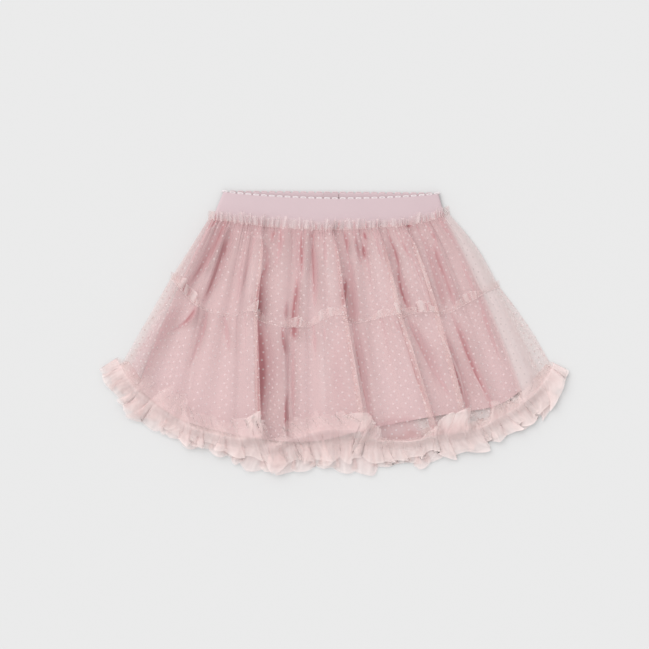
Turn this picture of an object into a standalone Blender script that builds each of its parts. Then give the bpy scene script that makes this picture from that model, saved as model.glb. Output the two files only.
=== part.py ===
"""A toddler's tulle skirt, laid flat on its back.

An elastic waistband, an opaque A-line lining, and two gathered tiers of dotted tulle with a
frill of plain tulle at the hem. X runs across the skirt, +Y points to the waist and +Z up from
the surface. The origin is at the middle of the underside. Sizes in the tables are millimetres.
"""

import math
from collections import namedtuple

import bmesh
import bpy
import numpy as np
from mathutils import Vector
from mathutils.bvhtree import BVHTree

MM = 0.001

# ---- driving sizes, in millimetres -------------------------------------------------------
TULLE_WALL = 1.0
LINING_WALL = 1.0
BAND_WALL = 1.5
GAP = 0.3  # between pieces that lie on or meet each other

BAND_LOW_LEFT = -121.0  # the lower corners of the band, which flares with the hips
BAND_LOW_RIGHT = 109.5
BAND_BELOW_SEAM = 1.5
BAND_DIP = 6.0  # how far the front band's top edge sags below the back band's
BAND_RISE = 2.2  # how far the front band arches above the back band at the centre
JOIN_X = -3.5  # the lapped ends of the elastic, at the centre back
JOIN_WIDTH = 15.0
JOIN_HEIGHT = 24.0
JOIN_WALL = 0.8
JOIN_BELOW_TOP = 1.5

HEADING_DEPTH = 9.0  # the ruffle above the waist seam
MIDDLE_HEADING_DEPTH = 7.5  # the ruffle above the seam between the tiers
FRILL_INNER = 13.0  # the frill's free depth above the hem
FRILL_OUTER = 21.0  # and below it
FRILL_LEAN = 0.28  # how much deeper it is at the left end than at the right

HEADING_WAVES = 34
MIDDLE_HEADING_WAVES = 28
FRONT_FRILL_WAVES = 38
BACK_FRILL_WAVES = 34
STEPS_A_WAVE = 4

SIDE_BOW = 6.0  # how far the lower tier's right side curves out between seam and hem
WAIST_PINCH = 0.85  # the share of the folds' lift that the waist seam's stitches hold down
PINCH_REACH = 0.12  # over this share of the tier's depth

# Heights of the middle of each wall above the surface.
BACK_LINING_Z = TULLE_WALL + GAP + LINING_WALL / 2
BACK_BAND_Z = TULLE_WALL + GAP + BAND_WALL / 2
FRONT_LINING_EDGE_Z = BACK_LINING_Z + LINING_WALL + GAP
FRONT_LINING_RISE = 2.0
FRONT_BAND_EDGE_Z = BACK_BAND_Z + BAND_WALL + GAP
TULLE_SIDE_Z = TULLE_WALL + GAP + TULLE_WALL / 2

# ---- outlines, in millimetres ------------------------------------------------------------
Point = namedtuple("Point", "x y")

WAIST_SEAM = [Point(-125, 112), Point(-60, 104.5), Point(0, 102.5), Point(60, 107), Point(115, 118)]
BAND_TOP = [Point(-109, 140.5), Point(0, 139.5), Point(103, 138.5)]

MIDDLE_SEAM_BACK = [Point(-163, 52.5), Point(-90, 22), Point(0, 9), Point(90, 19), Point(160, 45.5)]
HEM_BACK = [
    Point(-213, -34.5),
    Point(-194, -60),
    Point(-169, -80),
    Point(-134, -98),
    Point(-94, -110),
    Point(-44, -117),
    Point(16, -118.5),
    Point(66, -116),
    Point(106, -110),
    Point(141, -101),
    Point(171, -87),
    Point(196, -67),
    Point(218, -36.5),
]
LINING_HEM = [
    Point(-194, -53),
    Point(-154, -74),
    Point(-94, -89),
    Point(-24, -96),
    Point(46, -93.5),
    Point(98, -85),
    Point(159, -75),
    Point(187, -59),
]

# ---- the folds of the front --------------------------------------------------------------
# One row for each ridge, dip, valley and overlapping edge, from the left side to the right:
# where it starts at the waist seam, crosses the seam between the tiers and ends at the hem,
# and how far it lifts off what it lies on there. An "edge" lies over its neighbour, and the
# "under" that follows it turns back beneath it.
Fold = namedtuple("Fold", "kind waist_x mid_x mid_y hem_x hem_y waist_lift mid_lift hem_lift")
FOLDS = [
    Fold("side", -125, -163, 52.5, -213, -34.5, 0, 0, 0),
    Fold("ridge", -120, -155, 44.5, -200, -54.5, 6, 11, 11),
    Fold("valley", -111, -144, 31.5, -182, -70.5, 0.6, 0.8, 2),
    Fold("ridge", -104, -136, 25.5, -164, -81.5, 5.5, 8.5, 8),
    Fold("valley", -99, -127, 20.5, -153, -88.5, 0.6, 0.6, 1),
    Fold("ridge", -92, -116, 17.5, -141, -95.5, 5, 8, 9),
    Fold("dip", -87, -106, 15.5, -122, -101.5, 2, 2.5, 2),
    Fold("ridge", -83, -98, 15.5, -106, -104.5, 5, 9, 8),
    Fold("dip", -79, -91, 18.5, -96, -106.5, 1, 3.5, 4),
    Fold("ridge", -74, -85, 20.5, -86, -106.5, 6.5, 10, 11),
    Fold("edge", -68, -76, 19.5, -72, -104.5, 7.5, 12, 13),
    Fold("under", -72, -80, 15.5, -78, -108.5, 2, 4.5, 4.5),
    Fold("valley", -64, -71, 9.5, -66, -114.5, 0.6, 0.6, 0.6),
    Fold("ridge", -56, -59, 6.5, -56, -112.5, 5, 8, 7),
    Fold("ridge", -47, -50, 4.5, -48, -108.5, 5, 8, 9),
    Fold("valley", -38, -43, 4.5, -44, -105.5, 0.6, 0.6, 0.6),
    Fold("ridge", -28, -31, 4.5, -31, -104.5, 5.5, 7.5, 7),
    Fold("dip", -21, -23, 5.5, -22, -101.5, 1, 3, 3),
    Fold("ridge", -12, -14, 10.5, -10, -98.5, 7, 11, 11),
    Fold("ridge", -5, 1, 16.5, 11, -98.5, 6.5, 9.5, 8),
    Fold("edge", 1, 13, 15.5, 32, -99.5, 7.5, 12, 12),
    Fold("under", -2, 9, 11.5, 27, -103.5, 2, 4.5, 4.5),
    Fold("valley", 9, 18, 9.5, 37, -106.5, 0.6, 0.6, 0.6),
    Fold("ridge", 18, 27, 9.5, 47, -108.5, 5, 6.5, 5),
    Fold("dip", 26, 38, 11.5, 59, -108.5, 1, 2.5, 1.5),
    Fold("ridge", 37, 53, 15.5, 81, -108.5, 7, 8.5, 6),
    Fold("edge", 46, 67, 17.5, 103, -100.5, 7.5, 11, 10.5),
    Fold("under", 43, 63, 13.5, 98, -104.5, 2, 4, 4),
    Fold("valley", 54, 74, 16.5, 111, -102.5, 0.6, 0.6, 1),
    Fold("ridge", 65, 87, 19.5, 122, -100.5, 5.5, 7.5, 9),
    Fold("edge", 73, 104, 19.5, 134, -96.5, 7, 11, 12),
    Fold("under", 69, 100, 16.5, 129, -100.5, 2, 4, 4),
    Fold("valley", 83, 114, 18.5, 145, -96.5, 0.6, 0.6, 0.6),
    Fold("ridge", 91, 124, 23.5, 158, -88.5, 5.5, 8, 8),
    Fold("dip", 97, 133, 28.5, 174, -80.5, 1, 2.5, 2),
    Fold("ridge", 103, 142, 33.5, 188, -70.5, 6, 9.5, 10),
    Fold("dip", 108, 150, 39.5, 203, -58.5, 2.5, 4.5, 4),
    Fold("side", 115, 160, 45.5, 218, -36.5, 0, 0, 0),
]
# The height of the tulle's wall at the middle of the skirt where it lies on what is beneath.
REST_Z = {"waist": 7.8, "mid": 7.0, "hem": 6.6}
# How soon that height is reached from the sides: the less, the sooner.
REST_FULLNESS = {"waist": 0.12, "mid": 0.35, "hem": 0.35}

# ---- colours -----------------------------------------------------------------------------
Cloth = namedtuple("Cloth", "colour roughness")
DOTTED_TULLE = Cloth((0.70, 0.47, 0.48), 0.85)
PLAIN_TULLE = Cloth((0.76, 0.60, 0.58), 0.85)
ELASTIC = Cloth((0.72, 0.55, 0.58), 0.75)
LINING = Cloth((0.71, 0.48, 0.48), 0.8)


# ---- curves and heights ------------------------------------------------------------------
def through(rows, at):
    """The smooth curve through the rows, read at a fractional row number."""
    rows = np.asarray(rows, float)
    last = len(rows) - 1
    start = int(min(max(at, 0), last - 1e-9))
    t = at - start
    p0 = rows[max(start - 1, 0)]
    p1 = rows[start]
    p2 = rows[start + 1]
    p3 = rows[min(start + 2, last)]
    out = (p2 - p0) / 2
    into = (p3 - p1) / 2
    rise = 3 * t**2 - 2 * t**3
    return p1 + rise * (p2 - p1) + t * (1 - t) ** 2 * out - t**2 * (1 - t) * into


def along_x(line, x):
    """The height of a line of points at x, smooth between them."""
    xs = [point.x for point in line]
    row = np.interp(x, xs, range(len(xs)))
    return through([point.y for point in line], row)


def spread(first, last, count):
    return [first + (last - first) * i / (count - 1) for i in range(count)]


def arch(share, fullness=1.0):
    """0 at both sides and 1 in the middle."""
    return math.sin(math.pi * min(max(share, 0.0), 1.0)) ** fullness


def uneven(number):
    """A steady value from -1 to 1 that looks unplanned from one number to the next."""
    return math.sin(12.9898 * number + 4.1 * math.sin(2.3 * number))


# ---- making a piece ----------------------------------------------------------------------
def finish_of(name, cloth):
    finish = bpy.data.materials.new(name)
    finish.use_nodes = True
    shader = finish.node_tree.nodes["Principled BSDF"]
    shader.inputs["Base Color"].default_value = (*cloth.colour, 1.0)
    shader.inputs["Roughness"].default_value = cloth.roughness
    shader.inputs["Metallic"].default_value = 0.0
    finish.diffuse_color = (*cloth.colour, 1.0)
    return finish


def wall_of_cloth(name, cloth, across, down, place, wall, side=0.0):
    """A grid with a column for each value of across and a row for each of down, every corner
    at place(across, down), thickened to a wall. side is 0 to thicken both ways and 1 upwards."""
    grid = bmesh.new()
    columns = len(across) - 1
    rows = len(down) - 1
    bmesh.ops.create_grid(grid, x_segments=columns, y_segments=rows, size=0.5)
    for corner in grid.verts:
        column = round((corner.co.x + 0.5) * columns)
        row = round((0.5 - corner.co.y) * rows)
        corner.co = Vector(place(across[column], down[row])) * MM
    mesh = bpy.data.meshes.new(name)
    grid.to_mesh(mesh)
    grid.free()
    mesh.shade_smooth()
    mesh.materials.append(finish_of(name, cloth))
    piece = bpy.data.objects.new(name, mesh)
    bpy.data.collections["tulle skirt"].objects.link(piece)
    thicken = piece.modifiers.new("wall", "SOLIDIFY")
    thicken.thickness = wall * MM
    thicken.offset = side
    return piece


class Beneath:
    """The tops of finished pieces, for what lies on them."""

    FROM_Z = 100.0

    def __init__(self, *pieces):
        graph = bpy.context.evaluated_depsgraph_get()
        graph.update()
        self.trees = [BVHTree.FromObject(piece, graph) for piece in pieces]

    def top(self, x, y, reach):
        """The highest point under a disc of this radius, and 0 where there is nothing."""
        highest = 0.0
        offsets = [(0, 0)] + [
            (ring * math.cos(turn), ring * math.sin(turn))
            for ring in (reach / 2, reach)
            for turn in spread(0, 1.75 * math.pi, 8)
        ]
        for dx, dy in offsets:
            start = Vector((x + dx, y + dy, self.FROM_Z)) * MM
            for tree in self.trees:
                hit = tree.ray_cast(start, Vector((0, 0, -1)))[0]
                if hit is not None:
                    highest = max(highest, hit.z / MM)
        return highest


# ---- the band ----------------------------------------------------------------------------
def band_point(share, drop, dip):
    """A point of the band, share of its width from the left and drop of its height down."""
    top = through(BAND_TOP, 2 * share)
    low_x = BAND_LOW_LEFT + share * (BAND_LOW_RIGHT - BAND_LOW_LEFT)
    low_y = along_x(WAIST_SEAM, low_x) - BAND_BELOW_SEAM
    top_y = top[1] - dip * arch(share)
    return top[0] + drop * (low_x - top[0]), top_y + drop * (low_y - top_y)


def front_band_z(share):
    return FRONT_BAND_EDGE_Z + BAND_RISE * arch(share, 0.6)


def make_band():
    across = spread(0, 1, 25)

    def back(share, drop):
        return (*band_point(share, drop, 0), BACK_BAND_Z)

    def front(share, drop):
        return (*band_point(share, drop, BAND_DIP), front_band_z(share))

    wall_of_cloth("waistband_back", ELASTIC, across, spread(0, 1, 3), back, BAND_WALL)
    return wall_of_cloth("waistband_front", ELASTIC, across, spread(0, 1, 5), front, BAND_WALL)


def make_elastic_join():
    """The lapped ends of the elastic, stitched down on the band's inside at the centre back."""
    middle_z = BACK_BAND_Z + BAND_WALL / 2 + GAP + JOIN_WALL / 2

    def place(x, drop):
        return x, BAND_TOP[1].y - JOIN_BELOW_TOP - drop * JOIN_HEIGHT, middle_z

    across = spread(JOIN_X - JOIN_WIDTH / 2, JOIN_X + JOIN_WIDTH / 2, 4)
    wall_of_cloth("elastic_join", ELASTIC, across, spread(0, 1, 3), place, JOIN_WALL)


# ---- the lining --------------------------------------------------------------------------
def lining_point(share, drop):
    """A point of the lining's panel in plan, from the band's lower edge to its straight hem."""
    top_x = BAND_LOW_LEFT + 1 + share * (BAND_LOW_RIGHT - BAND_LOW_LEFT - 1)
    top_y = along_x(WAIST_SEAM, top_x) - BAND_BELOW_SEAM - 1.5 * GAP
    hem = through(LINING_HEM, share * (len(LINING_HEM) - 1))
    bow = 4.0 * arch(drop) * (2 * share - 1)
    return top_x + drop * (hem[0] - top_x) + bow, top_y + drop * (hem[1] - top_y)


def make_lining():
    across = spread(0, 1, 29)

    def back(share, drop):
        return (*lining_point(share, drop), BACK_LINING_Z)

    def front(share, drop):
        wave = 0.7 * drop * arch(share) * math.sin(9 * math.pi * share)
        lift = (FRONT_LINING_RISE - 0.5 * drop) * arch(share, 0.6)
        return (*lining_point(share, drop), FRONT_LINING_EDGE_Z + lift + wave)

    wall_of_cloth("lining_back", LINING, across, spread(0, 1, 4), back, LINING_WALL)
    return wall_of_cloth("lining_front", LINING, across, spread(0, 1, 6), front, LINING_WALL)


# ---- the tiers ---------------------------------------------------------------------------
def rest_z(level, row):
    """How high the tulle's wall lies at a row of FOLDS where it doesn't lift."""
    risen = arch(row / (len(FOLDS) - 1), REST_FULLNESS[level])
    return TULLE_SIDE_Z + (REST_Z[level] - TULLE_SIDE_Z) * risen


def seam_rows(level):
    """x, y, resting height and lift at each row of FOLDS along the waist seam, the middle seam
    or the hem."""
    rows = []
    for number, fold in enumerate(FOLDS):
        x = getattr(fold, level + "_x")
        y = along_x(WAIST_SEAM, x) if level == "waist" else getattr(fold, level + "_y")
        rows.append((x, y, rest_z(level, number), getattr(fold, level + "_lift")))
    return np.array(rows)


def fold_columns():
    """Row numbers along FOLDS, closer together round the edges that turn under."""
    columns = []
    for number, fold in enumerate(FOLDS[:-1]):
        steps = 3 if fold.kind in ("edge", "under") else 2
        columns += [number + step / steps for step in range(steps)]
    return columns + [len(FOLDS) - 1]


def tier_point(upper, lower, row, drop, bow, pinch=0.0):
    """A point of a tier between its two seams, with the right side bowed out. pinch is how much
    of the folds' lift the upper seam's stitches hold down."""
    start = through(upper, row)
    end = through(lower, row)
    share = row / (len(FOLDS) - 1)
    x, y, rest, lift = start + drop * (end - start)
    held = 1 - pinch * max(0, 1 - drop / PINCH_REACH)
    bow *= arch(drop) * share**4
    return x + bow, y + bow, rest + max(lift, 0) * held


def make_front_tiers():
    waist = seam_rows("waist")
    middle = seam_rows("mid")
    hem = seam_rows("hem")
    columns = fold_columns()

    def upper(row, drop):
        return tier_point(waist, middle, row, drop, SIDE_BOW / 3, WAIST_PINCH)

    def lower(row, drop):
        return tier_point(middle, hem, row, drop, SIDE_BOW)

    upper_rows = [0, PINCH_REACH, 0.35, 0.6, 0.82, 0.994]
    lower_rows = [0.006, 0.15, 0.32, 0.5, 0.68, 0.85, 1]
    return (
        wall_of_cloth("upper_tier_front", DOTTED_TULLE, columns, upper_rows, upper, TULLE_WALL),
        wall_of_cloth("lower_tier_front", DOTTED_TULLE, columns, lower_rows, lower, TULLE_WALL),
    )


def make_back_tiers():
    """The panels that the skirt rests on, with flat undersides."""

    def line(points, share):
        return through(points, share * (len(points) - 1))

    def upper(share, drop):
        x = -125 + share * (115 + 125)
        top = np.array((x, along_x(WAIST_SEAM, x) + HEADING_DEPTH))
        low = line(MIDDLE_SEAM_BACK, share) + (0, GAP / 2)
        return (*(top + drop * (low - top)), 0)

    def lower(share, drop):
        top = line(MIDDLE_SEAM_BACK, share) - (0, GAP / 2)
        low = line(HEM_BACK, share)
        bow = SIDE_BOW * arch(drop) * share**4
        return (*(top + drop * (low - top) + (bow, bow)), 0)

    across = spread(0, 1, 25)
    return (
        wall_of_cloth("upper_tier_back", DOTTED_TULLE, across, spread(0, 1, 3), upper, TULLE_WALL, 1),
        wall_of_cloth("lower_tier_back", DOTTED_TULLE, across, spread(0, 1, 6), lower, TULLE_WALL, 1),
    )


# ---- the ruffles -------------------------------------------------------------------------
def ruffle_columns(waves):
    return spread(0, 1, waves * STEPS_A_WAVE + 1)


def ripple(share, waves, high):
    """The height of a ruffle's waves, none below 0 and no two quite alike."""
    turn = share * waves
    number = math.floor(turn)
    height = high * (1 + 0.25 * uneven(number))
    return height * (1 - math.cos(2 * math.pi * turn)) / 2


def outward(path, share, reach):
    """A point reach to the side of a path in plan, at a share of its length."""
    at = share * (len(path) - 1)
    here = through(path, at)
    run = through(path, min(at + 6, len(path) - 1)) - through(path, max(at - 6, 0))
    run /= np.hypot(*run)
    return here[0] + run[1] * reach, here[1] - run[0] * reach


def evenly(path, count=150):
    """The same path with its points an even distance apart."""
    fine = np.array([through(path, at) for at in spread(0, len(path) - 1, 4 * count)])
    length = np.concatenate([[0], np.cumsum(np.hypot(*np.diff(fine, axis=0).T))])
    stops = spread(0, length[-1], count)
    return np.column_stack([np.interp(stops, length, fine[:, axis]) for axis in (0, 1)])


def over_folds(level, first=(), last=()):
    """The path that a ruffle takes along a seam, over the folds and not under their edges."""
    rows = seam_rows(level)[:, :2]
    kept = [row for row, fold in zip(rows, FOLDS) if fold.kind != "under"]
    path = evenly([*first, *kept, *last])
    eased = path.copy()
    for number in range(3, len(path) - 3):
        eased[number] = path[number - 3 : number + 4].mean(axis=0)
    return eased


def make_upper_heading(beneath_pieces):
    """The gathered edge of the upper tier that stands up over the band."""
    path = evenly([(point.x, point.y) for point in WAIST_SEAM])
    beneath = Beneath(*beneath_pieces)
    wave = 2.6

    def place(share, up):
        x, y = outward(path, share, -2 * GAP - up * (HEADING_DEPTH + uneven(19 * share)))
        low = beneath.top(x, y, 2.4) + GAP + TULLE_WALL
        return x, y, low + (0.4 + 0.6 * up) * ripple(share, HEADING_WAVES, wave)

    columns = ruffle_columns(HEADING_WAVES)
    wall_of_cloth("upper_heading", DOTTED_TULLE, columns, [1, 0.5, 0], place, TULLE_WALL)


def make_middle_heading(tiers):
    """The gathered edge of the lower tier, lying over the seam between the tiers."""
    path = over_folds("mid")
    beneath = Beneath(*tiers)
    wave = 3.4

    def place(share, up):
        x, y = outward(path, 0.01 + 0.98 * share, 0.5 - up * MIDDLE_HEADING_DEPTH)
        low = beneath.top(x, y, 4.0) + 3 * GAP + TULLE_WALL
        return x, y, low + (0.3 + 0.7 * up) * ripple(share, MIDDLE_HEADING_WAVES, wave)

    columns = ruffle_columns(MIDDLE_HEADING_WAVES)
    return wall_of_cloth("middle_heading", DOTTED_TULLE, columns, [1, 0.5, 0], place, TULLE_WALL)


def frill_depth(share):
    """How deep the frill is along the hem, shallower towards its ends and to the right."""
    return (0.7 + 0.3 * arch(share, 0.3)) * (1 + FRILL_LEAN * (0.5 - share))


def make_back_frill():
    """The back's frill, flat where the skirt rests on it and rising where it shows."""
    path = evenly([(point.x, point.y) for point in HEM_BACK])
    wave = 6.0

    def place(share, out):
        depth = FRILL_OUTER * frill_depth(share) + uneven(27 * share)
        x, y = outward(path, share, 2 * GAP + out * depth)
        return x, y, out**1.5 * ripple(share, BACK_FRILL_WAVES, wave)

    columns = ruffle_columns(BACK_FRILL_WAVES)
    return wall_of_cloth("hem_frill_back", PLAIN_TULLE, columns, [0, 0.5, 1], place, TULLE_WALL, 1)


def make_front_frill(beneath_pieces):
    """The front's frill, sewn along its middle, with both of its free edges waving."""
    path = over_folds("hem", first=[(-218, -27)], last=[(219, -31)])
    beneath = Beneath(*beneath_pieces)
    wave = 5.5

    def place(share, across):
        reach = across * (FRILL_INNER if across < 0 else FRILL_OUTER)
        reach *= frill_depth(share) + 0.12 * uneven(31 * share)
        x, y = outward(path, share, reach)
        low = beneath.top(x, y, 5.0) + 2 * GAP + TULLE_WALL
        free = 0.15 + 0.85 * abs(across) ** 0.8
        shift = 0.5 / FRONT_FRILL_WAVES if across < 0 else 0.0
        return x, y, low + free * ripple(share + shift, FRONT_FRILL_WAVES, wave)

    columns = ruffle_columns(FRONT_FRILL_WAVES)
    across = [-1, -0.5, 0, 0.5, 1]
    wall_of_cloth("hem_frill_front", PLAIN_TULLE, columns, across, place, TULLE_WALL)


def main():
    for leftover in list(bpy.data.objects):
        bpy.data.objects.remove(leftover, do_unlink=True)
    parts = bpy.data.collections.new("tulle skirt")
    bpy.context.scene.collection.children.link(parts)
    back_tiers = make_back_tiers()
    back_frill = make_back_frill()
    front_band = make_band()
    make_elastic_join()
    lining = make_lining()
    tiers = make_front_tiers()
    make_upper_heading([front_band, *tiers, *back_tiers])
    make_middle_heading(tiers)
    make_front_frill([back_frill, lining, *tiers, *back_tiers])


main()
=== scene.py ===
"""The looks of a toddler's tulle skirt, laid flat on its back and seen from above.

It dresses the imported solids: an elastic band with a picot edge, a lining, two gathered tiers of
dotted tulle and a ruffled frill of plain tulle. X runs across the skirt, +Y points to the waist
and +Z up from the surface. Sizes in the tables and the shape functions are millimetres.
"""

import math
from collections import namedtuple

import bpy
import numpy as np
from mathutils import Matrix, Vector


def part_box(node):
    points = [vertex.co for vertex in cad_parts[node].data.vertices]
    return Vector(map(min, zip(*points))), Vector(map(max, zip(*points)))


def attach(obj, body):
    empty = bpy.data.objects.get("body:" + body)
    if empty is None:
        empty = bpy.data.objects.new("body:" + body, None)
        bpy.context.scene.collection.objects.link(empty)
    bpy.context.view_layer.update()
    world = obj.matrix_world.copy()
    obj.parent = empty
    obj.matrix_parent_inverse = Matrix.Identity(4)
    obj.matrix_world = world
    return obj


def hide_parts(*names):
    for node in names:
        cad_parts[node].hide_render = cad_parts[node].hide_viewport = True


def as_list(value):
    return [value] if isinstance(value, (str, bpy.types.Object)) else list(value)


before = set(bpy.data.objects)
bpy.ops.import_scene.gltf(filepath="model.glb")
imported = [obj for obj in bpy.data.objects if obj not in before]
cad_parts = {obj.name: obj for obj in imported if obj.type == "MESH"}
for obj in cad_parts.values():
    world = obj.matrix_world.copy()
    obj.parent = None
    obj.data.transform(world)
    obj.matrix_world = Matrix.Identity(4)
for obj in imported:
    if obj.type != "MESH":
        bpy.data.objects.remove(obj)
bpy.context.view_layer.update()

MM = 0.001


def rows_of(kind, *rows):
    """A table's rows, each number with its name."""
    return [kind(*row) for row in rows]


# ---- sizes that the solids share ----
BAND_LOW_LEFT = -121.0
BAND_LOW_RIGHT = 109.5
BAND_BELOW_SEAM = 1.5
BAND_DIP = 6.0
BAND_RISE = 2.2
BAND_WALL = 1.3
HEADING_DEPTH = 9.0
MIDDLE_HEADING_DEPTH = 7.5
FRILL_INNER = 13.0
UPPER_BOW, LOWER_BOW = 3.0, 2.0
WAIST_PINCH = 0.85  # how much of the folds' lift the waist seam takes away
PINCH_REACH = 0.12  # and the share of the tier's length over which it comes back

BACK_LINING_Z = 1.8
BACK_BAND_Z = 2.05
FRONT_LINING_EDGE_Z = 3.1
FRONT_LINING_RISE = 2.0
LINING_WALL = 0.6
LAPPED = 3.5  # of the lining, over the band's lower edge
FRONT_BAND_EDGE_Z = 3.85
TULLE_SIDE_Z = 1.8
TULLE_GAP = 0.5  # the least room between a tier and what it lies on
FRILL_FLOOR_Z = 0.12
FRONT_FRILL_HEIGHT, BACK_FRILL_HEIGHT = 2.5, 3.0
# How high the tulle lies at the middle of the skirt, on what is beneath it, and how soon that
# height is reached from the sides: the less, the sooner.
REST_Z = {"waist": 7.8, "mid": 7.0, "hem": 6.6}
REST_FULLNESS = {"waist": 0.12, "mid": 0.35, "hem": 0.35}

# Lines in plan, each a row of x and y from left to right.
WAIST_SEAM = [(-125, 112), (-60, 104), (0, 101.5), (60, 104.5), (90, 109), (115, 117)]
BAND_TOP = [(-109, 140.5), (0, 139.5), (103, 138.5)]
MIDDLE_SEAM_BACK = [(-163, 52.5), (-90, 22), (0, 9), (90, 19), (165, 44)]
HEM_BACK = [(-213, -34.5), (-194, -60), (-169, -80), (-134, -98), (-94, -110), (-44, -117)]
HEM_BACK += [(16, -118.5), (66, -116), (106, -110), (141, -101), (171, -87), (196, -67), (218, -36.5)]
LINING_HEM = [(-195, -57), (-156, -86), (-94, -104), (-24, -110)]
LINING_HEM += [(40, -96), (98, -85), (159, -75), (187, -59)]

# The main folds of the front, as in the solids but for the middle seam's right end: one row for
# each ridge, dip, valley and edge, from the left side to the right. An "edge" lies over its
# neighbour and "under" turns back. The lifts are how far each stands up from the resting cloth.
Fold = namedtuple("Fold", "kind waist_x mid_x mid_y hem_x hem_y waist_lift mid_lift hem_lift")
FOLDS = rows_of(
    Fold,
    ("side", -125, -163, 52.5, -213, -34.5, 0, 0, 0),
    ("ridge", -120, -155, 44.5, -200, -54.5, 6, 11, 11),
    ("valley", -111, -144, 31.5, -182, -70.5, 0.6, 0.8, 2),
    ("ridge", -104, -136, 25.5, -164, -81.5, 5.5, 8.5, 8),
    ("valley", -99, -127, 20.5, -153, -88.5, 0.6, 0.6, 1),
    ("ridge", -92, -116, 17.5, -141, -95.5, 5, 8, 9),
    ("dip", -87, -106, 15.5, -122, -101.5, 2, 2.5, 2),
    ("ridge", -83, -98, 15.5, -106, -104.5, 5, 9, 8),
    ("dip", -79, -91, 18.5, -96, -106.5, 1, 3.5, 4),
    ("ridge", -74, -85, 20.5, -86, -106.5, 6.5, 10, 11),
    ("edge", -68, -76, 19.5, -72, -104.5, 7.5, 12, 13),
    ("under", -72, -80, 15.5, -78, -108.5, 2, 4.5, 4.5),
    ("valley", -64, -71, 9.5, -66, -114.5, 0.6, 0.6, 0.6),
    ("ridge", -56, -59, 6.5, -56, -112.5, 5, 8, 7),
    ("ridge", -47, -50, 4.5, -48, -108.5, 5, 8, 9),
    ("valley", -38, -43, 4.5, -44, -105.5, 0.6, 0.6, 0.6),
    ("ridge", -28, -31, 4.5, -31, -104.5, 5.5, 7.5, 7),
    ("dip", -21, -23, 5.5, -22, -101.5, 1, 3, 3),
    ("ridge", -12, -14, 10.5, -10, -98.5, 7, 11, 11),
    ("ridge", -5, 1, 16.5, 11, -98.5, 6.5, 9.5, 8),
    ("edge", 1, 13, 15.5, 32, -99.5, 7.5, 12, 12),
    ("under", -2, 9, 11.5, 27, -103.5, 2, 4.5, 4.5),
    ("valley", 9, 18, 9.5, 37, -106.5, 0.6, 0.6, 0.6),
    ("ridge", 18, 27, 9.5, 47, -108.5, 5, 6.5, 5),
    ("dip", 26, 38, 11.5, 59, -108.5, 1, 2.5, 1.5),
    ("ridge", 37, 53, 15.5, 81, -108.5, 7, 8.5, 6),
    ("edge", 46, 67, 17.5, 103, -100.5, 7.5, 11, 10.5),
    ("under", 43, 63, 13.5, 98, -104.5, 2, 4, 4),
    ("valley", 54, 74, 16.5, 111, -102.5, 0.6, 0.6, 1),
    ("ridge", 65, 87, 19.5, 122, -100.5, 5.5, 7.5, 9),
    ("edge", 73, 104, 19.5, 134, -96.5, 7, 11, 12),
    ("under", 69, 100, 16.5, 129, -100.5, 2, 4, 4),
    ("valley", 83, 114, 18.5, 145, -96.5, 0.6, 0.6, 0.6),
    ("ridge", 91, 124, 23.5, 158, -88.5, 5.5, 8, 8),
    ("dip", 97, 133, 28.5, 174, -80.5, 1, 2.5, 2),
    ("ridge", 103, 142, 33.5, 188, -70.5, 6, 9.5, 10),
    ("dip", 108, 152, 39.5, 203, -58.5, 2.5, 4.5, 4),
    ("side", 115, 165, 44, 218, -36.5, 0, 0, 0),
)

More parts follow.
